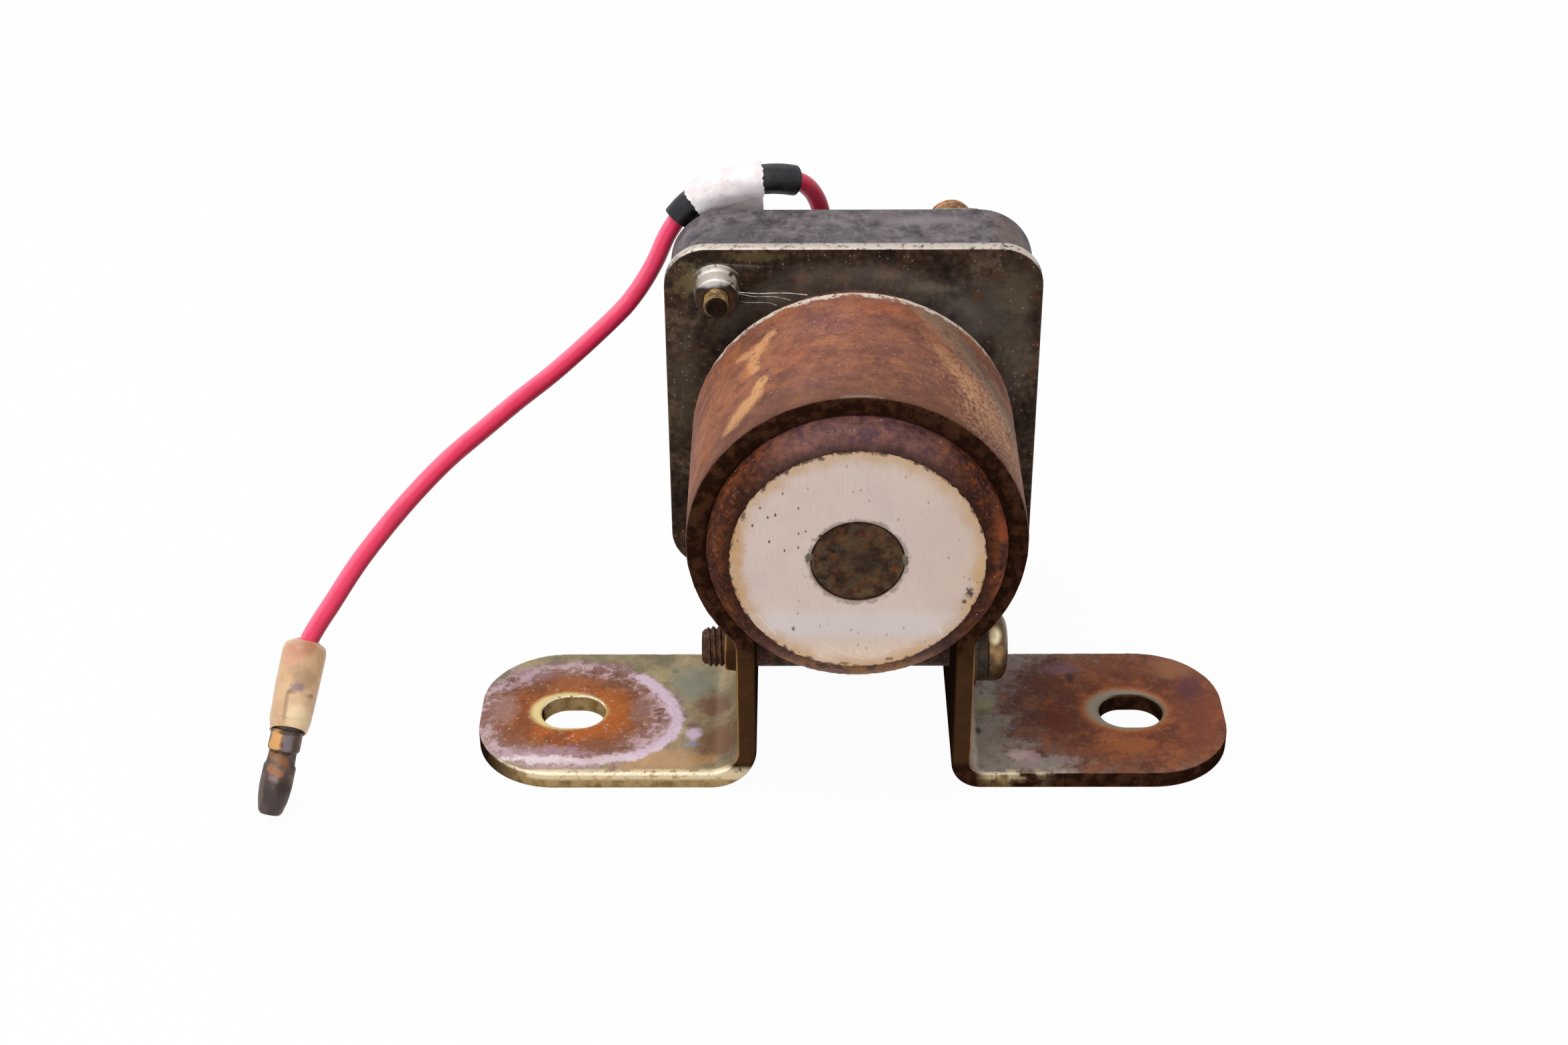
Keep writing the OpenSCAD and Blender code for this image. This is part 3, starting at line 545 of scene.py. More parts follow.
def sleeve_wall(i, angle):
    """Outer radius: fuller at the mouth, puckered where the tape pulls, flattened below."""
    share = i / (len(sleeve_frames) - 1)
    body = 1.98 - 0.14 * math.sin(math.pi * share) ** 2
    flat = 0.1 * math.cos(2 * angle)
    pucker = 0.05 * math.sin(9 * angle + 12 * share) * math.sin(math.pi * share)
    return body + flat + pucker


outer = [around(f, lambda a, i=i: sleeve_wall(i, a), sleeve_steps) for i, f in enumerate(sleeve_frames)]
inner = [around(f, lambda a: lead_d / 2 + 0.08, sleeve_steps) for f in sleeve_frames]
lip_start = around(sleeve_frames[0], lambda a: 1.65, sleeve_steps)
lip_end = around(sleeve_frames[-1], lambda a: 1.65, sleeve_steps)
sleeve = skin("black_sleeve", outer + [lip_end] + inner[::-1] + [lip_start], hollow=True)

paint, tree, shader, place = material("black_tube")
worn = clouds(tree, place, 2.5, 0.4, 0.7)
dust = use(tree, DUST, Place=place, Amount=0.5, Size=1.5)["Mask"]
base = overlaid(tree, "#0e0e10", worn, "#1b1b1f")
shade(tree, shader, Base_Color=overlaid(tree, base, dust, "#403d45"), Specular_IOR_Level=0.3,
      Roughness=graded(tree, 0.38, worn, 0.25))
bumped(tree, shader, cloudy(tree, place, 0.5), 0.03)
finish_piece(sleeve, paint, "housing", "lead_sleeve", slot="black_rubber")


# Clear tape: one strip wound once round the sleeve, stuck to itself in a tail below.
# It has torn ends and has gone cloudy, with brown dirt caught under it.
tape_steps = 72
tape_line = eased_line(lead_points[11:17], 6)
tape_frames = frames(part_of(tape_line, 0.13, 0.8, 70))
tail_reach = 4.5


def tape_wall(i, angle, grow):
    """Radius of the wound strip with the tail pinched out straight below it."""
    share = i / (len(tape_frames) - 1)
    below = abs((angle - 1.5 * math.pi + math.pi) % (2 * math.pi) - math.pi)
    tail = max(0.0, 1 - below / 0.16) ** 1.5
    ragged = 0.25 * math.sin(5 * share) + 0.12 * math.sin(31 * share)
    wrinkle = 0.03 * math.sin(7 * angle + 9 * share) + 0.03 * math.sin(23 * share + 3 * angle)
    return 2.2 + grow + wrinkle + tail * (tail_reach - 2.35 + ragged * 0.6)


def torn_frame(i, angle):
    """A frame near i, moved along the tube so that the strip's ends are jagged."""
    last = len(tape_frames) - 1
    jag = 0.9 * math.sin(5 * angle) + 0.7 * math.sin(17 * angle + 1) + 0.5 * math.sin(29 * angle)
    fade = max(0.0, 1 - min(i, last - i) / 6)
    inward = 1 if i < last / 2 else -1
    position = min(max(i + inward * fade * (0.6 * jag + 2), 0), last)
    low = min(int(position), last - 1)
    return [a.lerp(b, position - low) for a, b in zip(tape_frames[low], tape_frames[low + 1])]


def tape_ring(i, grow):
    ring = []
    for k in range(tape_steps):
        angle = 2 * math.pi * k / tape_steps
        point, across, over = torn_frame(i, angle)
        size = tape_wall(i, angle, grow) * MM
        ring.append(point + across * math.cos(angle) * size + over * math.sin(angle) * size)
    return ring


tape_rows = range(len(tape_frames))
tape_outside = [tape_ring(i, 0.08) for i in tape_rows]
tape_inside = [tape_ring(i, -0.02) for i in reversed(tape_rows)]
tape = skin("clear_tape", tape_outside + tape_inside, hollow=True)

paint, tree, shader, place = material("cloudy_tape")
cloud = clouds(tree, place, 3.0, 0.35, 0.7)
dirt = clouds(tree, place, 1.4, 0.52, 0.72)
dots = use(tree, SPECKS, Place=place, Size=0.7, Amount=0.35, Dot=0.22)["Mask"]
base = layered(tree, "#fffcfd", [
    (cloud, "#fbecec"),
    (dirt, "#e0ccbe", 0.4),
    (dots, "#8d7a6c", 0.3),
])
shade(tree, shader, Base_Color=base, Roughness=graded(tree, 0.3, cloud, 0.3),
      Alpha=lowered(tree, 0.97, cloud, 0.12))
bumped(tree, shader, cloudy(tree, place, 0.9), 0.06)
finish_piece(tape, paint, "housing", "lead_tape", slot="clear_tape")


# Connector: a brass bullet rolled round the wire's end, and its soft clear sleeve.
# The sleeve has gone amber; the crimp shows through it as a darker line.
connector_end = lead_points[-1]
connector_up = (lead_points[-2] - lead_points[-1]).normalized()


def axis_place(origin, direction, start=Vector((0, 0, 1))):
    """Matrix that stands local Z along direction at origin, local X as near start as it can."""
    side = (start - start.dot(direction) * direction).normalized()
    turn = Matrix((side, direction.cross(side), direction)).transposed().to_4x4()
    return Matrix.Translation(origin) @ turn


def eased_corners(profile, size, steps=4):
    """An open outline with each inner corner rounded by about size."""
    line = [Vector(profile[0])]
    for before, corner, after in zip(profile, profile[1:], profile[2:]):
        before, corner, after = Vector(before), Vector(corner), Vector(after)
        cut = min(size, (before - corner).length * 0.45, (after - corner).length * 0.45)
        first = corner + (before - corner).normalized() * cut
        final = corner + (after - corner).normalized() * cut
        for i in range(steps + 1):
            t = i / steps
            line.append(first * (1 - t) ** 2 + corner * 2 * t * (1 - t) + final * t ** 2)
    return line + [Vector(profile[-1])]


def turned(name, profile, place, steps=64, hollow=False, shape=None):
    """Solid of revolution about local Z. profile is (along, radius) in millimetres; shape
    may change a point (along, radius, angle) to a new (along, radius)."""
    rings = []
    for along, radius in profile:
        ring = []
        for k in range(steps):
            angle = 2 * math.pi * k / steps
            z, r = shape(along, radius, angle) if shape else (along, radius)
            ring.append(place @ Vector((r * math.cos(angle), r * math.sin(angle), z)))
        rings.append(ring)
    return skin(name, rings, hollow)


mm_scale = Matrix.Scale(MM, 4)
connector_place = axis_place(connector_end, connector_up) @ mm_scale
bullet_profile = eased_corners([
    (4.4, 0.3), (4.4, 1.45), (-0.4, 1.5), (-4.4, 1.62), (-4.5, 1.9), (-6.9, 1.93),
    (-7.1, 1.66), (-7.5, 1.66), (-8.6, 1.72), (-8.9, 1.93), (-11.4, 1.95), (-13.0, 1.8),
    (-14.5, 1.45), (-14.85, 1.15), (-14.85, 0.62), (-13.6, 0.5), (-13.6, 0.05),
], 0.22)


def rolled(along, radius, angle):
    """The rolled brass has a seam and is dented a little at its collar."""
    seam = 0.1 * math.exp(-((angle - 2.4) / 0.12) ** 2) if radius > 1 else 0
    dent = 0.05 * math.cos(2 * angle + 0.4) if along < -4.4 else 0
    return along, radius - seam + dent * (radius > 0.7)


bullet = turned("brass_bullet", bullet_profile, connector_place, 64, shape=rolled)

toward_eye = Vector((0, -0.84, 0.54))
toward_eye = (toward_eye - toward_eye.dot(connector_up) * connector_up).normalized()
rightward = connector_up.cross(toward_eye)


def on_connector(along, aside, radius=2.0):
    """Point in millimetres on the connector's upper side: along its axis, and aside to the right."""
    spot = connector_end / MM + connector_up * along + rightward * aside
    return tuple(spot + toward_eye * math.sqrt(max(0.0, radius ** 2 - aside ** 2)))


paint, tree, shader, place = material("tarnished_brass")
dark = clouds(tree, place, 2.2, 0.38, 0.62)
spots = clouds(tree, place, 0.6, 0.45, 0.7)
base = layered(tree, "#6f5a4a", [
    (dark, "#4b3f3e"),
    (spots, "#6b5a60", 0.4),
])
base = marked(tree, place, base, [
    (on_connector(-13.0, 0.3), 3.2, "#42383a", 0.85, 0.4, 1.0),
    (on_connector(-11.0, 1.4), 1.8, "#362a2a", 0.8, 0.6, 0.8),
    (on_connector(-14.2, -0.6), 0.9, "#5e4e54", 0.6, 0.8, 0.8),
])
base = streaked(tree, place, base, [
    ([on_connector(-10.2, -1.5), on_connector(-13.6, -1.4)], 0.7, "#6e6058", 0.7, 1.4, 0.8),
    ([on_connector(-9.3, -0.7), on_connector(-9.6, 0.5)], 0.7, "#a87454", 0.75, 1.6, 0.8),
    ([on_connector(-10.3, -0.4), on_connector(-10.4, 0.3)], 0.5, "#8d787a", 0.6, 1.6, 0.8),
    ([on_connector(-7.8, -1.0), on_connector(-8.2, 1.2)], 0.8, "#8f5f38", 0.8, 1.4, 0.8),
    ([on_connector(-7.9, -0.8), on_connector(-8.0, -0.4)], 0.5, "#857e72", 0.6, 1.2, 0.8),
    ([on_connector(-5.3, -1.0), on_connector(-6.4, -1.0)], 1.2, "#e0a868", 0.95, 1.2, 0.8),
    ([on_connector(-5.2, 0.7), on_connector(-6.6, 0.8)], 0.8, "#84767a", 0.8, 1.2, 0.8),
    ([on_connector(-5.2, 1.7), on_connector(-6.8, 1.7)], 0.5, "#54402c", 0.8, 1.2, 0.8),
    ([on_connector(-7.05, -1.8), on_connector(-7.25, 0.0), on_connector(-7.15, 1.8)],
     0.3, "#3c2a1c", 0.9, 0.4, 0.5),
    ([on_connector(-4.7, -1.8), on_connector(-4.8, 0.0), on_connector(-4.7, 1.8)],
     0.35, "#4a3c2e", 0.8, 0.4, 0.5),
])
shade(tree, shader, Base_Color=base, Metallic=lowered(tree, 0.45, dark, 0.3),
      Roughness=graded(tree, 0.4, dark, 0.2), Specular_IOR_Level=0.3)
bumped(tree, shader, spots, 0.02)
finish_piece(bullet, paint, "housing", "bullet_terminal", slot="brass")

cover_profile = eased_corners([
    (6.5, 1.22), (6.45, 1.4), (6.2, 1.8), (5.9, 2.4), (5.0, 2.62), (1.0, 2.6), (-3.2, 2.55),
    (-4.4, 2.3), (-4.4, 2.08), (-3.0, 2.1), (4.8, 2.1), (5.6, 1.7), (5.8, 1.22),
], 0.35)


def worn_cover(along, radius, angle):
    """The sleeve's mouth is cut aslant and pulled in on one side."""
    slant = 1.05 * math.cos(angle - 0.6) - 0.4 if along < -2.9 else 0
    pulled = 0.28 * math.exp(-((along + 4.2) / 1.6) ** 2) * (1 + math.cos(angle - 4.4)) / 2
    return along + slant * 0.8, radius - (pulled if radius > 2.2 else 0)


cover = turned("amber_sleeve", cover_profile, connector_place, 64, hollow=True, shape=worn_cover)

paint, tree, shader, place = material("amber_vinyl")
warm = clouds(tree, place, 4.0, 0.35, 0.65)
smear = clouds(tree, place, 1.5, 0.5, 0.75)
base = layered(tree, "#f2cca2", [
    (warm, "#deb48a"),
    (smear, "#b08a6e", 0.3),
])
base = marked(tree, place, base, [
    (on_connector(5.9, 0.3, 2.6), (3.4, 2.4, 1.8), "#b87c58", 0.8, 0.4, 1.6),
    (on_connector(4.6, -1.0, 2.6), 2.2, "#e6a48c", 0.5, 0.4, 1.6),
    # Painted shade: a darker patch on the sleeve's right side, halfway along.
    (on_connector(2.2, 1.0, 2.6), 2.2, "#b08a68", 0.7, 0.5, 1.6),
    (on_connector(-2.4, 1.3, 2.6), 2.3, "#ffe2b6", 0.9, 0.4, 1.2),
    (on_connector(-2.0, -1.6, 2.6), 1.6, "#dcb08e", 0.6, 0.6, 1.2),
    (on_connector(0.9, 0.5, 2.6), (1.1, 0.9, 0.8), "#8c7080", 0.7, 0.7, 0.7),
])
base = streaked(tree, place, base, [
    ([on_connector(0.6, 0.0, 2.6), on_connector(0.0, -0.5, 2.6), on_connector(-3.8, -0.3, 2.6)],
     0.36, "#a08070", 0.6, 0.5, 0.8),
    ([on_connector(0.3, -0.3, 2.6), on_connector(0.1, 2.2, 2.6)], 0.42, "#9c7c58", 0.6, 0.5, 0.8),
])
shade(tree, shader, Base_Color=base, Roughness=graded(tree, 0.32, smear, 0.2),
      Alpha=graded(tree, 0.86, warm, 0.1), Subsurface_Weight=0.3,
      Subsurface_Radius=(1.2 * MM, 0.8 * MM, 0.4 * MM))
bumped(tree, shader, smear, 0.03)
finish_piece(cover, paint, "housing", "connector_sleeve", slot="amber_sleeve")


# Strap bracket: one strip of zinc plated steel wrapped round the can, both legs bent out to
# feet with slots. The ring has rusted through; the feet keep some plating round rust halos.
strap_t = 2.3
strap_w = 25.0
ring_r = 18.5
leg_x = 12.95
neck_r = 2.65
foot_r_left = 4.55
foot_r_right = 2.55
foot_end = 46.6
foot_round = 10.0
neck_z = axis_height - math.sqrt((ring_r + neck_r) ** 2 - (leg_x + neck_r) ** 2)
neck_turn = math.atan2(axis_height - neck_z, leg_x + neck_r)


def arc_line(centre, radius, start, end, count, inward):
    """Points of an arc: x, z, which way is outward, and half the strap's width and thickness."""
    made = []
    for i in range(count):
        a = start + (end - start) * i / count
        side = -1 if inward else 1
        made.append((centre[0] + radius * math.cos(a), centre[1] + radius * math.sin(a),
                     side * math.cos(a), side * math.sin(a), strap_w / 2, strap_t / 2))
    return made


def strap_half(foot_r):
    """The strap's centre line from the top of the ring to the end of the right foot."""
    line = arc_line((0, axis_height), ring_r, math.pi / 2, -neck_turn, 130, False)
    line += arc_line((leg_x + neck_r, neck_z), neck_r, math.pi - neck_turn, math.pi, 10, True)
    bend_z = strap_t / 2 + foot_r
    for i in range(24):
        line.append((leg_x, neck_z + (bend_z - neck_z) * i / 24, 1, 0, strap_w / 2, strap_t / 2))
    line += arc_line((leg_x + foot_r, bend_z), foot_r, math.pi, 1.5 * math.pi, 18, True)
    start = leg_x + foot_r
    straight = foot_end - foot_round
    for i in range(32):
        line.append((start + (straight - start) * i / 32, strap_t / 2, 0, 1, strap_w / 2, strap_t / 2))
    for i in range(29):
        q = math.radians(3.1 * i)
        line.append((straight + foot_round * math.sin(q), strap_t / 2, 0, 1,
                     strap_w / 2 - foot_round + foot_round * math.cos(q), strap_t / 2))
    edge = strap_w / 2 - foot_round
    line.append((foot_end - 0.1, strap_t / 2, 0, 1, edge - 0.1, strap_t / 2 - 0.12))
    line.append((foot_end, strap_t / 2, 0, 1, edge - 0.3, strap_t / 2 - 0.35))
    return line


def strip_section(half_w, half_t, edge, across=44):
    """Rounded rectangle of a strip, as (over, along) pairs going round it."""
    points = []
    corners = [(half_t, half_w, 0), (-half_t, half_w, 90), (-half_t, -half_w, 180),
               (half_t, -half_w, 270)]
    for over, along, turn in corners:
        centre = (over - math.copysign(edge, over), along - math.copysign(edge, along))
        for step in range(4):
            a = math.radians(turn + 30 * step)
            points.append((centre[0] + edge * math.cos(a), centre[1] + edge * math.sin(a)))
        if turn in (90, 270):
            side = points[-1]
            for i in range(1, across):
                points.append((side[0], side[1] * (1 - 2 * i / across)))
    return points


def weathered(point, over):
    """How far the outer side of the strap is eaten away or swollen by rust at a point."""
    if over < 0.5:
        return 0.0
    return 0.05 * ripple(point, 1.3, 2.0) + 0.03 * ripple(point, 0.6, 6.0)


right_line = strap_half(foot_r_right)
left_line = [(-x, z, -nx, nz, w, t) for x, z, nx, nz, w, t in strap_half(foot_r_left)[1:]]
strap_line = left_line[::-1] + right_line
strap_rings = []
for x, z, nx, nz, half_w, half_t in strap_line:
    ring = []
    for over, along in strip_section(half_w, half_t, 0.34):
        spot = Vector((x + over * nx, along, z + over * nz)) * MM
        ring.append(spot + Vector((nx, 0, nz)) * weathered(spot, over) * MM)
    strap_rings.append(ring)
strap = skin("strap_bracket", strap_rings)


def cut(obj, cutter, way="DIFFERENCE"):
    """Takes the cutter out of the piece, or joins it to the piece with UNION."""
    change = obj.modifiers.new("cut", "BOOLEAN")
    change.operation = way
    change.solver = "EXACT"
    change.object = cutter
    bpy.context.view_layer.update()
    done = bpy.data.meshes.new_from_object(obj.evaluated_get(bpy.context.evaluated_depsgraph_get()))
    obj.modifiers.clear()
    obj.data = done
    bpy.data.objects.remove(cutter)


def slot_cutter(centre, length, width, edge):
    """Stadium prism down through a foot, flared by edge at its top."""
    rings = []
    for z, grow in ((-1, 0), (strap_t - edge, 0), (strap_t + 0.01, edge), (strap_t + 1, edge)):
        ring = []
        for k in range(64):
            a = 2 * math.pi * k / 64
            x = math.copysign(length / 2 - width / 2, math.cos(a)) + (width / 2 + grow) * math.cos(a)
            ring.append(Vector((centre[0] + x, centre[1] + (width / 2 + grow) * math.sin(a), z)) * MM)
        rings.append(ring)
    return skin("slot_cutter", rings)


slot_x = 35.0
for side in (-1, 1):
    cut(strap, slot_cutter((side * slot_x, 0), 8.0, 6.5, 0.18))

clamp_z = 12.4
leg_face = leg_x + strap_t / 2
collar_len = 1.7
along_x = axis_place(Vector((0, 0, clamp_z)) * MM, Vector((1, 0, 0))) @ mm_scale
collar = turned("collar", eased_corners([
    (-leg_face + 0.6, 0.2), (-leg_face + 0.6, 3.3), (-leg_face - 0.4, 3.05), (-leg_face - 1.1, 2.95),
    (-leg_face - collar_len, 2.85), (-leg_face - collar_len, 0.2),
], 0.35), along_x, 48)
cut(strap, collar, "UNION")
cut(strap, turned("bore", [(-leg_face - 4, 2.53), (-5, 2.53)], along_x, 48))
cut(strap, turned("bore", [(5, 2.7), (leg_face + 4, 2.7)], along_x, 48))


def strap_paint(name, tones):
    """One part's paint: tones gives the colour of its faces, how rusty they are and where a painted
    highlight lies.
    """
    paint, tree, shader, place = material(name)
    x, y, z = split(tree, place)
    nx, ny, nz = facing_of(tree)
    rust = use(tree, RUST, Place=place, Size=5.0)
    patch = cloudy(tree, place, 5.0, 4.0)
    tint = cloudy(tree, place, 1.6, 5.0)
    fine = cloudy(tree, place, 0.5, 3.0)
    base, rusty, gold = tones(tree, place, (x, y, z), (rust, patch, tint, fine))

    # Sheared sides are nearly black; the legs' inner faces are painted near black as shade; the legs'
    # outer front edges get a painted highlight
    low = between(tree, z, 2.5, 2.2)
    flat = between(tree, calc(tree, "ABSOLUTE", nz), 0.75, 0.45)
    side = calc(tree, "MAXIMUM", between(tree, calc(tree, "ABSOLUTE", ny), 0.5, 0.8),
                product(tree, flat, low))
    side_tone = overlaid(tree, "#24140d", between(tree, tint, 0.42, 0.62), "#42281a")
    leg_height = product(tree, between(tree, z, 3.0, 4.5), between(tree, z, 22.0, 18.0))
    side_tone = overlaid(tree, side_tone, leg_height, "#4c3420", 0.7)
    side_tone = mixed(tree, product(tree, gold, low, between(tree, ny, -0.2, -0.5)), side_tone,
                      overlaid(tree, "#b09468", between(tree, tint, 0.4, 0.65), "#80683f"))
    base = mixed(tree, side, base, side_tone)
    # Painted shade: the legs' inner faces, under the can, are painted near black.
    outward = calc(tree, "MULTIPLY", nx, calc(tree, "SIGN", x))
    inside = product(tree, between(tree, outward, -0.3, -0.7), inverse(tree, low),
                     between(tree, z, 24.0, 22.0))
    base = overlaid(tree, base, inside, "#2a1c12")
    # Painted highlight: a lighter orange tan line down each leg's outer front edge.
    rubbed_and_lit = product(tree, between(tree, ny, -0.2, -0.5), between(tree, ny, -0.93, -0.8), leg_height,
                     between(tree, outward, 0.1, 0.4), 0.75)
    base = overlaid(tree, base, rubbed_and_lit, "#b0804e")
    # Painted highlight: pale gold glints along the feet's rounded front edges, and a gold band just
    # behind them, where the tones mark the edge as gold.
    edge = product(tree, between(tree, nz, 0.15, 0.4), between(tree, nz, 0.985, 0.92),
                   between(tree, ny, -0.1, -0.35), between(tree, z, 3.6, 2.6),
                   between(tree, fine, 0.36, 0.48))
    band = product(tree, between(tree, y, -11.3, -12.0), between(tree, z, 3.6, 2.6),
                   between(tree, z, 1.1, 1.7), between(tree, tint, 0.36, 0.5))
    base = layered(tree, base, [
        (product(tree, band, gold, 0.8), "#f2dcb4"),
        (product(tree, edge, gold), "#fff0d2"),
    ])
    sides_and_shaded_inner = calc(tree, "MAXIMUM", side, inside)
    rusty = calc(tree, "MAXIMUM", rusty, sides_and_shaded_inner)
    shade(tree, shader, Base_Color=base, Metallic=product(tree, inverse(tree, rusty), 0.3),
          Roughness=graded(tree, 0.44, rusty, 0.24),
          Specular_IOR_Level=product(tree, inverse(tree, sides_and_shaded_inner), 0.16))
    bumped(tree, shader, calc(tree, "MULTIPLY", rust["Height"], calc(tree, "ADD", rusty, 0.3)), 0.09)
    return paint


def ring_tones(tree, place, at, seen):
    """Purple brown rust, with tan patches to the left and a grey streak to the right."""
    x, y, z = at
    rust, patch, tint, fine = seen
    mottle = blended(tree, rust["Value"], patch, 0.75)
    base = shades(tree, mottle, (0.37, "#643e34"), (0.45, "#80503f"), (0.52, "#905c48"),
                  (0.6, "#9f6848"), (0.68, "#ae7850"))
    base = marked(tree, place, base, [
        ((-15.5, 0.0, 46.0), (5, 12, 7), "#9a6040", 0.6, 0.7, 3.0),
        ((-3.6, 5.0, 55.0), (5, 4, 4), "#84545a", 0.35, 0.9, 2.0),
        ((-5.5, -8.3, 54.3), (5, 3, 4), "#7b5458", 0.35, 0.9, 2.0),
        ((4.4, 1.0, 54.5), (6, 5, 4), "#6e4642", 0.4, 0.9, 2.0),
        ((4.0, 9.0, 54.5), (7, 2.4, 4), "#a3593a", 0.5, 0.9, 2.0),
        ((-8.5, 10.0, 53.0), (4, 2.0, 3), "#8c4e36", 0.5, 0.9, 2.0),
        ((8.0, -4.0, 53.2), (3, 6, 3), "#7a5346", 0.5, 0.9, 2.0),
        ((18.5, 0.0, 40.5), (2.6, 9.0, 6), "#6f5440", 0.55, 0.9, 2.0),
        ((17.6, -9.0, 43.5), (3, 3, 5), "#8a5a40", 0.5, 0.9, 2.0),
        ((-17.2, -8.5, 44.0), (2.4, 4.0, 3.4), "#a05a2c", 0.6, 0.9, 1.0),
        ((-13.0, -10.4, 49.8), (4.0, 1.6, 3.0), "#6b4034", 0.6, 1.2, 1.0),
        ((-14.6, 8.0, 48.6), (3.0, 3.0, 3.4), "#b06a3c", 0.5, 1.2, 1.0),
        ((-7.0, 0.0, 53.8), (3.5, 5.0, 3.0), "#96583e", 0.4, 1.4, 1.6),
        ((-11.4, 5.0, 51.4), (2.2, 2.4, 2.2), "#c98a5c", 0.85, 0.9, 0.7),
        ((-12.4, 1.6, 50.6), (1.6, 1.9, 1.6), "#c0764a", 0.7, 0.9, 0.7),
    ])
    base = streaked(tree, place, base, [
        ([(8.6, 11.5, 53.1), (11.2, 8.4, 51.6), (13.8, 5.2, 49.4), (17.4, 0.5, 44.6)],
         3.4, "#80705f", 0.65, 1.9, 1.6),
        ([(12.4, 9.5, 50.6), (15.6, 5.6, 47.4), (17.6, 3.0, 44.0)], 2.2, "#5c5044", 0.45, 2.0, 1.6),
        ([(10.2, 2.5, 52.2), (12.6, -2.0, 50.4), (15.4, -7.0, 47.6)], 2.2, "#c4926a", 0.5, 3.4, 0.7),
        ([(13.2, 1.0, 49.9), (15.6, -2.6, 47.2), (17.2, -6.0, 44.9)], 2.0, "#b98c6a", 0.45, 3.4, 0.7),
        ([(-9.9, 7.0, 52.3), (-11.6, 4.6, 51.2), (-12.0, 2.6, 50.9), (-11.7, 0.6, 51.1)],
         1.1, "#d09868", 0.8, 1.2, 0.7),
        ([(-11.8, 4.8, 51.1), (-13.4, 5.8, 49.8)], 1.0, "#cf9868", 0.8, 1.2, 0.7),
        ([(-10.9, -3.0, 51.7), (-11.6, -5.2, 51.2), (-12.8, -7.2, 50.2), (-14.6, -8.4, 48.4)],
         1.25, "#d49e6c", 0.9, 0.5, 0.7),
        ([(-12.0, -5.9, 50.9), (-13.9, -7.9, 49.2)], 2.1, "#d49e6c", 0.85, 0.5, 0.7),
        # Painted highlight: a pale broken line of glints along the ring's front top edge.
        ([(-1.8, -12.2, 55.0), (2.6, -12.2, 54.95)], 0.4, "#e0cfc0", 0.6, 3.0, 0.5),
    ])
    for centre, size, strength in (((-1.8, 3.8, 55.0), 1.7, 0.3), ((-0.4, -5.9, 55.1), 2.6, 0.25)):
        reach = use(tree, STAIN, Place=place, Centre=centre, Reach=(size, size, size), Ragged=0.25,
                    Grain=0.7)["Value"]
        outline = between(tree, calc(tree, "ABSOLUTE", calc(tree, "SUBTRACT", reach, 1.0)), 0.16, 0.03)
        base = overlaid(tree, base, outline, "#4a2a2c", strength)
    grains = product(tree, between(tree, x, 9.5, 13.0), between(tree, y, 4.0, 0.0),
                     between(tree, z, 38.0, 42.0), between(tree, fine, 0.48, 0.58), 0.55)
    pale = use(tree, SPECKS, Place=place, Size=0.7, Amount=0.14, Dot=0.16)["Mask"]
    base = layered(tree, base, [
        (between(tree, tint, 0.52, 0.64), "#683c32", 0.5),
        (between(tree, tint, 0.46, 0.38), "#b8774a", 0.35),
        (grains, "#e0ac84"),
        (between(tree, fine, 0.42, 0.34), "#452620", 0.5),
        (between(tree, fine, 0.58, 0.68), "#c8a08c", 0.22),
        (pale, "#e0c8b8", 0.6),
        # Painted shade: the ring darkens towards its front edge, where its rounded lip turns away.
        (between(tree, y, -4.0, -12.0), "#55362c", 0.5),
        (between(tree, y, -11.0, -12.4), "#4c3028", 0.45),
    ])
    rear = product(tree, between(tree, graded(tree, y, tint, 3.2), 12.7, 13.5),
                   between(tree, z, 44.0, 48.0), between(tree, fine, 0.34, 0.46), 0.9)
    base = overlaid(tree, base, rear, "#e6d8c8")
    low = between(tree, graded(tree, z, tint, 5.0), 23.5, 20.5)
    return overlaid(tree, base, low, "#4c3d2f"), inverse(tree, low), 0.0


def foot_tones(tree, place, z, zinc, marks, rust_tone, halo, more, prints):
    """Plating with its marks, a rust halo with marks of its own, and the print of a screw's head."""
    base = overlaid(tree, zinc, between(tree, z, 3.0, 8.0), "#46372a", 0.75)
    base = marked(tree, place, base, marks)
    base = overlaid(tree, base, between(tree, z, 12.5, 16.8), "#4c3d2f")
    halo = product(tree, halo, between(tree, z, 7.0, 4.0))
    base = mixed(tree, halo, base, rust_tone)
    return marked(tree, place, marked(tree, place, base, more), prints, 0.2), halo


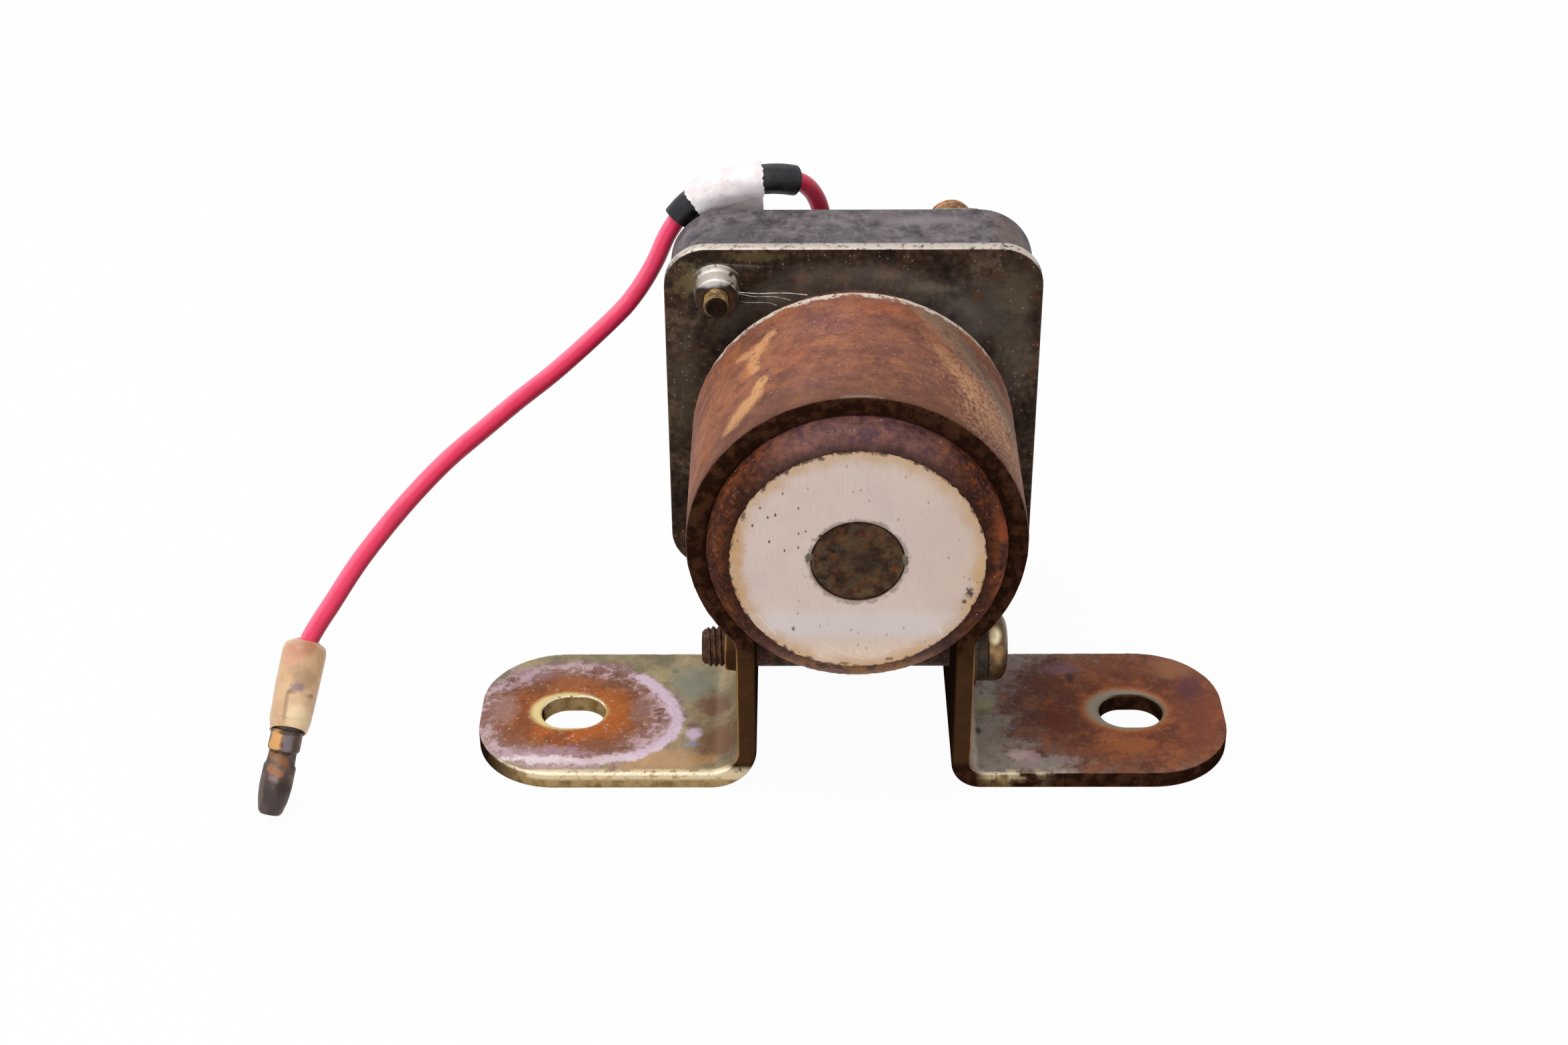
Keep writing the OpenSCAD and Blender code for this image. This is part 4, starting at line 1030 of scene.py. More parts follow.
def left_tones(tree, place, at, seen):
    """Olive and gold zinc round an orange brown halo, which ends in a pale lilac tide line."""
    x, _, z = at
    _, patch, tint, fine = seen
    grit = between(tree, fine, 0.58, 0.68)
    zinc = shades(tree, patch, (0.38, "#756a50"), (0.48, "#8b7d5e"), (0.6, "#a08c6a"))
    zinc = layered(tree, zinc, [
        (between(tree, tint, 0.5, 0.7), "#63523e", 0.4),
        (grit, "#c0b0a0", 0.25),
    ])
    marks = [
        ((-25.0, -9.8, 2.3), (9, 3.4, 3), "#bd946c", 0.8, 0.7, 1.6),
        ((-20.0, 6.0, 2.3), (4.5, 5.5, 3), "#7f8476", 0.7, 0.7, 1.6),
        ((-17.2, 1.0, 2.3), (3.6, 3.4, 3), "#75523e", 0.9, 0.9, 1.6),
        ((-16.8, -6.0, 3.0), (4.4, 5.5, 4), "#6f4d34", 0.95, 0.9, 1.6),
        ((-18.4, -9.6, 2.5), (2.5, 1.6, 2), "#b08350", 0.6),
        ((-24.8, 7.6, 2.3), (2.4, 2.4, 2), "#a39a66", 0.5),
        ((-22.5, 8.6, 2.3), (0.7, 0.8, 2), "#5d5c4c", 0.6),
        ((-19.8, -4.6, 2.3), (1.5, 1.8, 2), "#cbb2c8", 0.95),
        ((-20.0, -6.7, 2.3), (1.2, 0.9, 2), "#8f95ac", 0.7),
        ((-20.0, -2.8, 2.3), (1.2, 0.9, 2), "#7a5048", 0.7),
    ]
    reach = use(tree, STAIN, Place=place, Centre=(-35.2, -0.6, 2.3), Reach=(13.1, 10.9, 7), Ragged=0.34,
                Grain=1.6)["Value"]
    tone = shades(tree, calc(tree, "MULTIPLY", reach, 0.8), (0.3, "#b05c24"), (0.42, "#9c5628"),
                  (0.54, "#87563e"), (0.64, "#8e685c"), (0.72, "#a4857e"), (0.8, "#b49a98"))
    outer = product(tree, between(tree, reach, 0.74, 0.94), between(tree, tint, 0.47, 0.56))
    tone = layered(tree, tone, [
        (between(tree, tint, 0.5, 0.66), "#b0703c", 0.5),
        (between(tree, patch, 0.5, 0.42), "#643a26", 0.5),
        (outer, "#d0b2bc", 0.75),
        (grit, "#dcc4ba", 0.4),
        (between(tree, fine, 0.42, 0.34), "#5b3326", 0.35),
    ])
    more = [
        ((-40.3, 7.6, 2.3), (4, 1.8, 2), "#a08088", 0.5),
        ((-30.0, 1.4, 2.3), (3.2, 4.2, 2), "#b0622a", 0.6, 1.2, 0.9),
        ((-36.0, 6.4, 2.3), (5.0, 1.8, 2), "#9c5a32", 0.6),
        ((-26.6, 0.4, 2.3), (1.8, 3.6, 2), "#93706a", 0.6),
        ((-38.0, -8.6, 2.3), (8, 2.4, 2), "#b89aa6", 0.6, 1.4, 0.9),
        ((-39.0, -9.6, 2.3), (6, 1.0, 2), "#f6e8e8", 0.8, 2.0, 0.9),
        ((-43.8, 0.4, 2.3), (2.2, 4.5, 2), "#a58078", 0.65),
        ((-41.0, -3.5, 2.3), (2, 2.5, 2), "#73452e", 0.6),
        ((-30.5, -6.8, 2.3), (4.5, 1.8, 2), "#7e4e38", 0.6),
    ]
    prints = [
        ((-35.7, 0.15, 2.3), (5.5, 4.55, 2), "#9a6a38", 0.7, 0.1, 0.8),
        ((-35.7, 0.15, 2.3), (5.2, 4.25, 2), "#e6cf92", 1.0, 0.07, 0.8),
        ((-34.7, -0.1, 2.3), (4.6, 3.75, 2), "#c79c60", 0.8, 0.1, 0.8),
    ]
    base, halo = foot_tones(tree, place, z, zinc, marks, tone, between(tree, reach, 1.07, 0.99), more,
                            prints)
    base = streaked(tree, place, base, [
        ([(-26.8, 7.2, 2.3), (-25.0, 5.4, 2.3), (-23.0, 2.2, 2.3), (-21.8, -1.4, 2.3),
          (-22.3, -4.6, 2.3), (-24.4, -7.4, 2.3), (-27.2, -9.2, 2.3)], 1.1, "#dcc4d6", 0.85, 1.6, 0.9),
        ([(-27.2, -9.2, 2.3), (-33.0, -10.0, 2.3), (-40.0, -9.4, 2.3)], 1.0, "#e6d2d8", 0.7, 2.4, 0.9),
        ([(-43.6, 4.8, 2.3), (-40.0, 9.2, 2.3), (-35.0, 9.9, 2.3)], 0.6, "#cdb0b8", 0.4, 2.0, 0.9),
    ])
    collar_stain = use(tree, STAIN, Place=place, Centre=(-15.6, 0, 12.4), Reach=(1.6, 3.8, 3.8),
                    Ragged=0.1)["Mask"]
    base = overlaid(tree, base, collar_stain, "#3a2419")
    # The third value marks where the front edge takes a painted highlight: all of this foot but its far
    # left end.
    return base, calc(tree, "MAXIMUM", halo, collar_stain), between(tree, x, -45.5, -38.0)


def right_tones(tree, place, at, seen):
    """Pinkish grey zinc by the leg, dark red and purple brown rust over the rest of the foot."""
    x, _, z = at
    _, patch, tint, fine = seen
    grit = between(tree, fine, 0.58, 0.68)
    zinc = shades(tree, patch, (0.38, "#7c6a5c"), (0.48, "#94857a"), (0.6, "#a89c92"))
    zinc = layered(tree, zinc, [
        (between(tree, tint, 0.5, 0.64), "#6b4a38", 0.6),
        (between(tree, tint, 0.46, 0.4), "#a08a88", 0.4),
        (grit, "#c0b0a0", 0.25),
    ])
    marks = [
        ((16.0, -7.0, 3.0), (4, 6, 4), "#a89a8e", 0.6, 0.8, 1.4),
        ((22.5, 8.0, 2.3), (6, 4, 3), "#8d7674", 0.7, 0.8, 1.4),
        ((23.6, 6.8, 2.3), (2.4, 3.0, 2), "#b39498", 0.6),
        ((16.8, 1.6, 2.4), (1.9, 1.7, 2), "#a7a57a", 0.85),
        ((16.4, -0.4, 2.4), (1.5, 1.3, 2), "#7d7a4c", 0.6),
        ((15.6, -3.9, 2.6), (0.7, 0.9, 1.4), "#241812", 0.9),
        ((17.5, 10.5, 2.3), (4, 2.6, 3), "#8f8680", 0.7),
    ]
    reach = use(tree, STAIN, Place=place, Centre=(36.5, 0.0, 2.3), Reach=(17.6, 15.5, 7), Ragged=0.4,
                Grain=2.0)["Value"]
    tone = shades(tree, calc(tree, "MULTIPLY", reach, 0.8), (0.24, "#84482f"), (0.4, "#7a452f"),
                  (0.56, "#7c4b36"), (0.68, "#7e5a4c"), (0.8, "#8a7068"))
    tone = layered(tree, tone, [
        (between(tree, tint, 0.5, 0.62), "#9c5a34", 0.6),
        (between(tree, patch, 0.52, 0.42), "#4c2620", 0.55),
        (grit, "#a8806e", 0.3),
        (between(tree, fine, 0.42, 0.34), "#3a1e18", 0.3),
    ])
    more = [
        ((27.0, 8.9, 2.3), (3.6, 1.6, 2), "#8b6a78", 0.6),
        ((28.0, 6.9, 2.3), (0.8, 1.5, 2), "#36222a", 0.8),
        ((43.2, 4.8, 2.3), (2.6, 4.5, 2), "#5b363e", 0.75),
        ((43.0, 0.0, 2.3), (3.0, 6.5, 2), "#63382f", 0.6),
        ((41.0, 9.0, 2.3), (4.5, 3.4, 2), "#96664a", 0.7),
        ((36.5, 8.6, 2.3), (4.5, 2.6, 2), "#7c4632", 0.6),
        ((25.4, -2.0, 2.3), (2.5, 4.0, 2), "#6a3020", 0.7),
        ((34.0, -7.0, 2.3), (6.5, 2.2, 2), "#a25f36", 0.7, 1.4, 0.9),
        ((44.5, -1.0, 2.3), (2.4, 6.0, 2), "#87452f", 0.4, 1.4, 0.9),
        ((31.5, -5.4, 2.3), (2.2, 1.6, 2), "#a8673c", 0.6),
        ((42.0, -6.4, 2.3), (3.0, 2.4, 2), "#7a4030", 0.6),
        ((22.0, -10.4, 2.3), (7, 1.9, 2), "#a1948c", 0.75, 1.4, 0.9),
        ((20.6, -8.9, 2.3), (3.0, 1.4, 2), "#d4b2ae", 0.75, 1.2, 0.9),
        ((22.0, -9.4, 2.3), (1.4, 0.9, 2), "#b48a98", 0.6),
    ]
    prints = [
        ((34.4, 0.3, 2.3), (6.1, 5.2, 2), "#b06a3c", 0.85, 0.12, 0.8),
        ((34.4, 0.3, 2.3), (5.5, 4.6, 2), "#958c7c", 0.95, 0.1, 0.8),
        ((35.2, 0.1, 2.3), (4.75, 3.85, 2), "#6e5e48", 0.8, 0.12, 0.8),
    ]
    base, halo = foot_tones(tree, place, z, zinc, marks, tone, between(tree, reach, 1.1, 0.9), more,
                            prints)
    # Where the front edge takes a painted highlight: patches near the leg.
    shining = product(tree, between(tree, x, 25.0, 20.0), between(tree, x, 14.6, 17.0),
                      between(tree, patch, 0.38, 0.5), 0.65)
    return base, halo, shining


finish_piece(strap, strap_paint("ring_rust", ring_tones), "housing", "bracket", slot="rusty_steel")
legs_top = 17.0 * MM
repaint(strap, strap_paint("left_foot_zinc", left_tones), lambda at: at.z < legs_top and at.x < 0)
repaint(strap, strap_paint("right_foot_rust", right_tones), lambda at: at.z < legs_top and at.x >= 0)


# Plain metals: screws, washers, nuts, springs and the moving iron. Each is a worn metal that
# differs in tone, in how much dirt lies on it in patches and in how bright its edges are rubbed.
EDGES, given, result = effect("rubbed_edges", ["Mask"], Width=0.25)
true_side = put(EDGES, "NewGeometry").outputs["Normal"]
width = calc(EDGES, "MULTIPLY", given["Width"], MM)
soft_side = put(EDGES, "Bevel", {"Radius": width}, samples=4).outputs["Normal"]
agree = vector_calc(EDGES, "DOT_PRODUCT", true_side, soft_side)
feed(EDGES, result["Mask"], between(EDGES, agree, 0.985, 0.86))


def worn_metal(name, tones, edge_tone, metallic, roughness, size=1.6, grime="#2c2018", dirt=0.6,
               marks=(), shine=0.35):
    """A metal in three tones, dark to light, with dirt in patches, rubbed edges and its own marks."""
    made, tree, shader, place = material(name)
    broad = cloudy(tree, place, size, 6.0)
    fine = cloudy(tree, place, size / 5, 4.0)
    both = blended(tree, broad, fine, 0.6)
    base = shades(tree, both, (0.4, tones[0]), (0.5, tones[1]), (0.6, tones[2]))
    dirty = clouds(tree, place, size * 1.7, 0.5, 0.66)
    base = overlaid(tree, base, dirty, grime, dirt)
    rubbed_and_lit = product(tree, use(tree, EDGES, Width=0.2)["Mask"], between(tree, fine, 0.35, 0.55))
    base = overlaid(tree, base, rubbed_and_lit, edge_tone, 0.7)
    base = marked(tree, place, base, marks)
    clean = inverse(tree, calc(tree, "MULTIPLY", dirty, dirt))
    shade(tree, shader, Base_Color=base, Metallic=calc(tree, "MULTIPLY", clean, metallic),
          Roughness=graded(tree, roughness, dirty, 0.2), Specular_IOR_Level=shine)
    bumped(tree, shader, both, 0.03)
    return made


def dress(paint, *nodes):
    """Gives CAD nodes that stay in view their material."""
    for name in nodes:
        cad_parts[name].data.materials.clear()
        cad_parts[name].data.materials.append(paint)


def threaded(core, crest, pitch, start, end):
    """Shape for turned(): a screw thread from start to end along the piece."""
    def shape(along, radius, angle):
        if along < start or along > end or radius < core * 0.98:
            return along, radius
        turned_by = (along / pitch - angle / (2 * math.pi)) % 1
        rise = min(1.0, 1.35 * (1 - abs(2 * turned_by - 1)))
        ease = min(1.0, (along - start) / pitch, (end - along) / pitch)
        top = crest(along) if callable(crest) else crest
        return along, core + (top - core) * rise * ease
    return shape


def rod(start, end, radius, step):
    """Profile of a plain rod, cut into short pieces for a thread to be formed in it."""
    count = max(2, round((end - start) / step))
    return [(start + (end - start) * i / count, radius) for i in range(count + 1)]


def cross_cutter(place, depth, top, span, width):
    """Two crossed wedges for the recess in a screw head, open at top along local Z."""
    made = []
    for turn_by in (0, 90):
        turned_place = place @ Matrix.Rotation(math.radians(turn_by), 4, "Z")
        rings = []
        for z, grow in ((top - depth, 0.35), (top - depth * 0.5, 0.8), (top + 0.5, 1.1)):
            half_s, half_w = span / 2 * grow, width / 2 * (0.7 + 0.3 * grow)
            corners = [(-half_s, -half_w), (half_s, -half_w), (half_s, half_w), (-half_s, half_w)]
            rings.append([turned_place @ Vector((a, b, z)) for a, b in corners])
        made.append(skin("recess", rings))
    return made


def joined(name, objs):
    """One object with the meshes of several."""
    shape = bmesh.new()
    for obj in objs:
        shape.from_mesh(obj.data)
        bpy.data.objects.remove(obj)
    mesh = bpy.data.meshes.new(name)
    shape.to_mesh(mesh)
    shape.free()
    obj = bpy.data.objects.new(name, mesh)
    bpy.context.collection.objects.link(obj)
    return obj


# Clamp screw: a steel pan head screw that draws both legs together, tapped in the left leg.
# Yellow passivated once; the head is bronze brown now and the thread's end is rusty.
screw_profile = [(-18.6, 0.05), (-18.6, 1.8), (-18.3, 2.1)] + rod(-18.2, 16.2, 2.46, 0.08)
screw_profile += eased_corners([
    (16.3, 2.5), (16.3, 4.1), (16.5, 4.3), (17.5, 4.3), (18.3, 4.0), (18.8, 3.2), (19.0, 2.0),
    (19.0, 0.05),
], 0.3)
clamp_screw = turned("clamp_screw", screw_profile, along_x, 64,
                     shape=threaded(2.12, 2.49, 0.7, -18.3, -13.4))
for wedge in cross_cutter(along_x, 1.7, 19.0, 4.6, 1.1):
    cut(clamp_screw, wedge)
# Painted highlight and shade on the head: a pale gold glint at its upper left fading down its front, and
# its lower part painted dark.
head_glint_and_shade = [
    ((17.2, -2.6, 15.8), (1.1, 1.8, 1.2), "#fff0c4", 1.0, 0.3, 1.0),
    ((17.6, -3.2, 13.4), (1.0, 1.4, 1.8), "#c8a068", 0.7, 0.6, 1.0),
    ((17.5, -2.0, 9.4), (2.0, 4.0, 1.6), "#2a1e14", 0.7, 0.6, 1.0),
]
bronze = worn_metal("bronze_screw", ("#3e2e1b", "#5e462b", "#7e643c"), "#f8e0ac", 0.5, 0.3, size=4.0,
                    dirt=0.12, marks=head_glint_and_shade)
finish_piece(clamp_screw, bronze, "housing", "clamp_screw", slot="passivated_steel")
# Rust on the thread's end; the rest of the shank, between the legs under the can, takes the same dark
# tone as painted shade.
rusty_and_shaded_shank = worn_metal("rusty_and_shaded_shank", ("#2a1a12", "#4a3022", "#6c4a38"), "#9a7a62", 0.15, 0.62,
                          size=1.0, shine=0.2)
repaint(clamp_screw, rusty_and_shaded_shank, lambda at: at.x < 16.25 * MM)

dull = worn_metal("dull_washer", ("#221911", "#38291b", "#54412c"), "#8c7656", 0.3, 0.5)
dress(dull, "clamp_flat_washer", "clamp_lock_washer")


# Can: drawn steel, closed and rounded at the front. Its bare end is pitted purple brown rust;
# four tabs behind hold it to the flange plate.
can_front = -15.5
can_r = 17.3
can_wall = 1.2
can_rear = 32.9
pitted_to = 6.0
round_r = 2.6
core_r = 5.33


def lengthways(x, y, z):
    """Place of a turned piece whose axis runs to the rear, from a point in millimetres."""
    return axis_place(Vector((x, y, z)) * MM, Vector((0, 1, 0))) @ mm_scale


def pitted(depth, size, seed):
    """Shape for turned(): the surface is eaten away by up to depth."""
    def shape(along, radius, angle):
        if along > pitted_to:
            return along, radius
        spot = Vector((radius * math.cos(angle), radius * math.sin(angle), along)) * MM
        eaten = 0.5 + 0.5 * ripple(spot, size, seed) + 0.5 * ripple(spot, size / 2.5, seed + 5)
        return along + depth * 0.5 * max(0.0, eaten) * (radius < 16.5), radius - depth * max(0.0, eaten)
    return shape


flat_r = can_r - round_r
can_profile = [(can_rear, can_r - can_wall), (can_rear, can_r)]
can_profile += [(can_rear - 26.9 * i / 10 - 1.0, can_r) for i in range(11)]
can_profile += [(5.0 - 0.4 * i, can_r) for i in range(6)]
for degrees in range(0, 91, 4):
    a = math.radians(degrees)
    can_profile.append((round_r - round_r * math.sin(a), flat_r + round_r * math.cos(a)))
can_profile += [(0, flat_r - 9.3 * i / 6) for i in range(1, 7)]
can_profile += [(can_wall, core_r), (can_wall, flat_r), (round_r, can_r - can_wall),
                (32.0, can_r - can_wall)]
can_place = lengthways(0, can_front, axis_height)
can_body = turned("can_body", can_profile, can_place, 420, hollow=True, shape=pitted(0.13, 0.8, 1.0))


def from_axis(tree, xyz):
    """Distance from the can's axis in millimetres."""
    upward = calc(tree, "SUBTRACT", xyz["Z"], axis_height)
    aside = put(tree, "CombineXYZ", {0: xyz["X"], 1: upward}).outputs[0]
    return vector_calc(tree, "LENGTH", aside)


def can_tab(angle):
    """Tab cut from the can's rim, from just inside it to the back of the plate."""
    rings = []
    for along, less in ((can_rear - 0.3, 0), (can_rear + 1.4, 0), (can_rear + 1.5, 0.1)):
        half, low, high = 2.5 - less, 16.25 + less, 17.2 - less
        corners = [(low, -half), (high, -half), (high, half), (low, half)]
        spin = can_place @ Matrix.Rotation(angle, 4, "Z")
        rings.append([spin @ Vector((r, side, along)) for r, side in corners])
    return skin("can_tab", rings)


can = joined("steel_can", [can_body] + [can_tab(math.radians(45 + 90 * i)) for i in range(4)])

paint, tree, shader, place = material("can_rust")
xyz = split(tree, place)
rust = use(tree, RUST, Place=place, Size=3.0)
grit = clouds(tree, place, 0.4, 0.52, 0.66, 3.0)
specks = use(tree, SPECKS, Place=place, Size=0.6, Amount=0.08, Dot=0.18)["Mask"]
# The rim's sides take darker, browner rust than its top: partly a rust of their own, partly painted
# shade where the rounded rim turns away from the light above.
toward_sides = between(tree, calc(tree, "ABSOLUTE", xyz["X"]), 5.0, 14.0)
upper = shades(tree, rust["Value"], (0.4, "#4a2c2a"), (0.5, "#6b4540"), (0.6, "#86584c"))
lower = shades(tree, rust["Value"], (0.4, "#2c160f"), (0.5, "#482512"), (0.6, "#6a391d"))
base = mixed(tree, toward_sides, upper, lower)
purple = clouds(tree, place, 2.2, 0.52, 0.62)
purple = product(tree, purple, inverse(tree, calc(tree, "MULTIPLY", toward_sides, 0.7)), 0.6)
base = overlaid(tree, base, purple, "#44283a")
orange = clouds(tree, place, 1.3, 0.54, 0.66)
base = overlaid(tree, base, product(tree, orange, toward_sides, 0.7), "#8e4a28")
right_rim = product(tree, between(tree, xyz["X"], 14.8, 16.6), between(tree, xyz["Y"], -12.6, -13.8),
                    clouds(tree, place, 2.6, 0.36, 0.56), 0.8)
base = layered(tree, base, [
    (right_rim, "#a2522c"),
    (grit, "#8a6458", 0.3),
    (specks, "#cdb4aa", 0.7),
])
reach = from_axis(tree, xyz)
# Painted shade: the rim darkens next to the pale ring, in the hollow where it turns in.
base = overlaid(tree, base, between(tree, reach, 16.0, 14.9), "#2c1812", 0.6)
low_part = between(tree, xyz["Z"], 23.0, 19.5)
flecked = product(tree, low_part, between(tree, cloudy(tree, place, 1.4), 0.44, 0.56))
base = overlaid(tree, base, flecked, "#93622c", 0.95)
shade(tree, shader, Base_Color=base, Roughness=0.5,
      Specular_IOR_Level=lowered(tree, 0.24, toward_sides, 0.18))
bumped(tree, shader, graded(tree, rust["Height"], grit, 0.5), 0.14)
finish_piece(can, paint, "housing", "can", slot="rusty_steel")


# End ring: a thin pale disc with a hole, stuck on the can's end. Its rim is chipped and
# stained by the rust around it; dirt sits in small pinholes.
def chipped(along, radius, angle):
    if radius < 14:
        return along, radius
    spot = Vector((math.cos(angle), math.sin(angle), 0)) * 14.7 * MM
    wear = 0.08 * (1 + ripple(spot, 1.2, 3.0)) + 0.25 * max(0.0, ripple(spot, 0.5, 8.0))
    return along, radius - wear


ring_profile = [(0.25, 5.4), (0.25, 14.6), (0.2, 14.68), (0.02, 14.68), (0, 14.55)]
ring_profile += [(0, 14.55 - 9.05 * i / 24) for i in range(1, 25)] + [(0.05, 5.42)]
ring_place = lengthways(0, can_front - 0.25, axis_height)
pale_ring = turned("pale_ring", ring_profile, ring_place, 360, hollow=True, shape=chipped)

paint, tree, shader, place = material("pale_ring")
xyz = split(tree, place)
reach = from_axis(tree, xyz)
brushed = put(tree, "TexNoise", {"Vector": vector_calc(tree, "MULTIPLY", place, (6.0, 1.0, 0.5)),
                                 "Scale": 1.0, "Detail": 4.0}).outputs["Fac"]
soiled = clouds(tree, place, 6.0, 0.3, 0.7)
edge_noise = cloudy(tree, place, 0.9, 5.0)
wide_noise = cloudy(tree, place, 3.0, 3.0)
base = layered(tree, "#dac5b9", [
    (soiled, "#d0bdb5"),
    (between(tree, xyz["X"], 2.0, 12.0), "#d0b6a2", 0.4),
    # Painted light: the ring's lower part is painted lighter and pinker.
    (between(tree, xyz["Z"], 26.0, 22.5), "#ebccb5", 0.65),
    (between(tree, brushed, 0.5, 0.75), "#b9a6a0", 0.25),
])
band = between(tree, calc(tree, "ABSOLUTE", calc(tree, "SUBTRACT", xyz["Z"], 26.7)), 3.0, 0.5)
base = overlaid(tree, base, band, "#dcd6dc", 0.4)
reach_rough = graded(tree, reach, calc(tree, "SUBTRACT", edge_noise, 0.5), 2.0)
reach_wide = graded(tree, reach, calc(tree, "SUBTRACT", wide_noise, 0.5), 4.0)
base = overlaid(tree, base, between(tree, reach_wide, 12.4, 15.0), "#c39a68", 0.75)
base = marked(tree, place, base, [
    ((-14.0, -15.7, 38.0), (1.5, 1, 5.0), "#c08e54", 0.6, 1.0, 1.4),
    ((-13.7, -15.7, 31.5), (1.4, 1, 4.0), "#c08e54", 0.55, 1.0, 1.4),
    ((13.8, -15.7, 34.5), (1.0, 1, 4.0), "#c6a06c", 0.5, 1.0, 1.0),
    ((-10.6, -15.7, 45.4), (0.5, 1, 0.8), "#4a3426", 0.9, 1.2, 0.4),
    ((-12.9, -15.7, 41.6), (0.4, 1, 0.9), "#4a3426", 0.85, 1.2, 0.4),
    ((12.8, -15.7, 31.2), (0.7, 1, 0.9), "#3a2a22", 0.95, 1.2, 0.4),
    ((12.2, -15.7, 30.0), (0.4, 1, 0.4), "#3a2a22", 0.9, 1.2, 0.4),
    ((-7.3, -15.7, 26.2), (0.35, 1, 0.4), "#5a4a46", 0.9, 0.8, 0.4),
    ((-8.0, -15.7, 47.3), (0.35, 1, 0.45), "#6b4a38", 0.9, 0.8, 0.4),
    ((-4.2, -15.7, 49.1), (0.5, 1, 0.3), "#54382a", 0.9, 1.0, 0.4),
    ((6.3, -15.7, 48.5), (0.4, 1, 0.35), "#54382a", 0.9, 1.0, 0.4),
    ((-1.4, -15.7, 21.3), (0.7, 1, 0.3), "#6b5638", 0.85, 1.2, 0.4),
    ((3.8, -15.7, 21.9), (0.7, 1, 0.35), "#6b5638", 0.85, 1.2, 0.4),
])
base = overlaid(tree, base, between(tree, reach_rough, 14.35, 14.75), "#54402e")
upper_left = use(tree, STAIN, Place=place, Centre=(-9.0, -15.7, 40.0), Reach=(7, 3, 9), Soft=0.8,
                 Ragged=0.5, Grain=2.0)["Mask"]
holes = use(tree, SPECKS, Place=vector_calc(tree, "MULTIPLY", place, (1.0, 1.0, 0.6)), Size=0.85,
            Amount=0.4, Dot=0.19)["Mask"]
holes = calc(tree, "MULTIPLY", holes, graded(tree, 0.4, upper_left, 0.6))
base = overlaid(tree, base, holes, "#5a463c")
# Darker along the ring's inner edge.
dark_inner_edge = product(tree, between(tree, reach_rough, 6.0, 5.5), 0.6)
base = overlaid(tree, base, dark_inner_edge, "#6b5848")
base = streaked(tree, place, base, [
    ([(-4.2, -15.75, 24.2), (-1.4, -15.75, 22.6), (0.9, -15.75, 21.8)], 0.1, "#efe2d6", 0.4, 1.6, 0.6),
    ([(-0.4, -15.75, 24.0), (0.4, -15.75, 22.2)], 0.1, "#efe2d6", 0.4, 1.6, 0.6),
    ([(2.4, -15.75, 22.2), (4.8, -15.75, 23.6)], 0.1, "#efe2d6", 0.35, 1.6, 0.6),
    ([(-11.4, -15.75, 28.2), (-9.4, -15.75, 25.4)], 0.12, "#efe2d6", 0.4, 1.6, 0.6),
    ([(9.4, -15.75, 26.4), (10.2, -15.75, 24.2)], 0.12, "#efe2d6", 0.4, 1.6, 0.6),
])
shade(tree, shader, Base_Color=base, Roughness=0.5, Specular_IOR_Level=0.4)
bumped(tree, shader, lowered(tree, brushed, holes, 2.0), 0.012)
finish_piece(pale_ring, paint, "housing", "end_ring", slot="pale_card")


# Fixed core: a soft iron plug whose end is staked in the middle of the can's end. The end
# is rusty and ringed by burrs.
core_profile = [(12.2, 0.1), (12.2, 6.0), (1.2, 6.0), (1.2, 5.28), (0.1, 5.28), (-0.1, 5.15)]
core_profile += [(-0.12, 5.0 - 4.9 * i / 16) for i in range(17)]


def hammered(along, radius, angle):
    """The staked end is uneven and its edge is nicked."""
    if along > 0.3:
        return along, radius
    spot = Vector((radius * math.cos(angle), radius * math.sin(angle), 0)) * MM
    nick = 0.12 * max(0.0, ripple(spot, 0.6, 9.0)) if radius > 4.8 else 0
    return along + 0.12 * (ripple(spot, 1.2, 4.0) + 0.5 * ripple(spot, 0.5, 7.0)), radius - nick


core_body = turned("core_body", core_profile, can_place, 96, shape=hammered)


def burr(x, z, long, wide, tilt):
    """A flake of metal raised where the core was staked."""
    flake_place = Matrix.Translation(Vector((x, can_front - 0.24, z)) * MM) @ mm_scale
    flake_place = flake_place @ Matrix.Rotation(tilt, 4, "Y")
    rings = []
    for deep, share in ((0.28, 1.0), (0.05, 0.9), (-0.12, 0.55)):
        ring = []
        for k in range(10):
            a = 2 * math.pi * k / 10
            rough = 1 + 0.25 * math.sin(3 * a + x) + 0.15 * math.sin(5 * a + z)
            ring.append(flake_place @ Vector((
                long / 2 * share * rough * math.cos(a), deep,
                wide / 2 * share * rough * math.sin(a))))
        rings.append(ring)
    return skin("burr", rings)


core = joined("core_end", [
    core_body, burr(-5.55, 36.0, 1.1, 1.5, 0.2), burr(5.35, 35.6, 1.0, 1.7, -0.15),
    burr(-4.2, 38.9, 0.7, 0.5, 0.8),
])
paint, tree, shader, place = material("core_rust")
rust = use(tree, RUST, Place=place, Size=2.0)
grey = clouds(tree, place, 1.4, 0.46, 0.6)
red = clouds(tree, place, 1.1, 0.56, 0.66)
base = shades(tree, rust["Value"], (0.4, "#22150c"), (0.5, "#40291a"), (0.6, "#5e4228"))
base = layered(tree, base, [
    (grey, "#5c4f3c", 0.45),
    (red, "#6b3414", 0.7),
])
middle_dark = use(tree, STAIN, Place=place, Centre=(0.3, -15.6, 35.4), Reach=(3.4, 3, 3.2), Soft=0.6,
                  Ragged=1.0, Grain=1.2)["Mask"]
base = overlaid(tree, base, middle_dark, "#2b211a", 0.45)
xyz = split(tree, place)
chips = between(tree, calc(tree, "ABSOLUTE", xyz["X"]), 4.9, 5.2)
base = overlaid(tree, base, chips, "#7d7560", 0.6)
shade(tree, shader, Base_Color=base, Roughness=0.66, Specular_IOR_Level=0.12)
bumped(tree, shader, rust["Height"], 0.16)
finish_piece(core, paint, "housing", "fixed_core", slot="dull_steel")


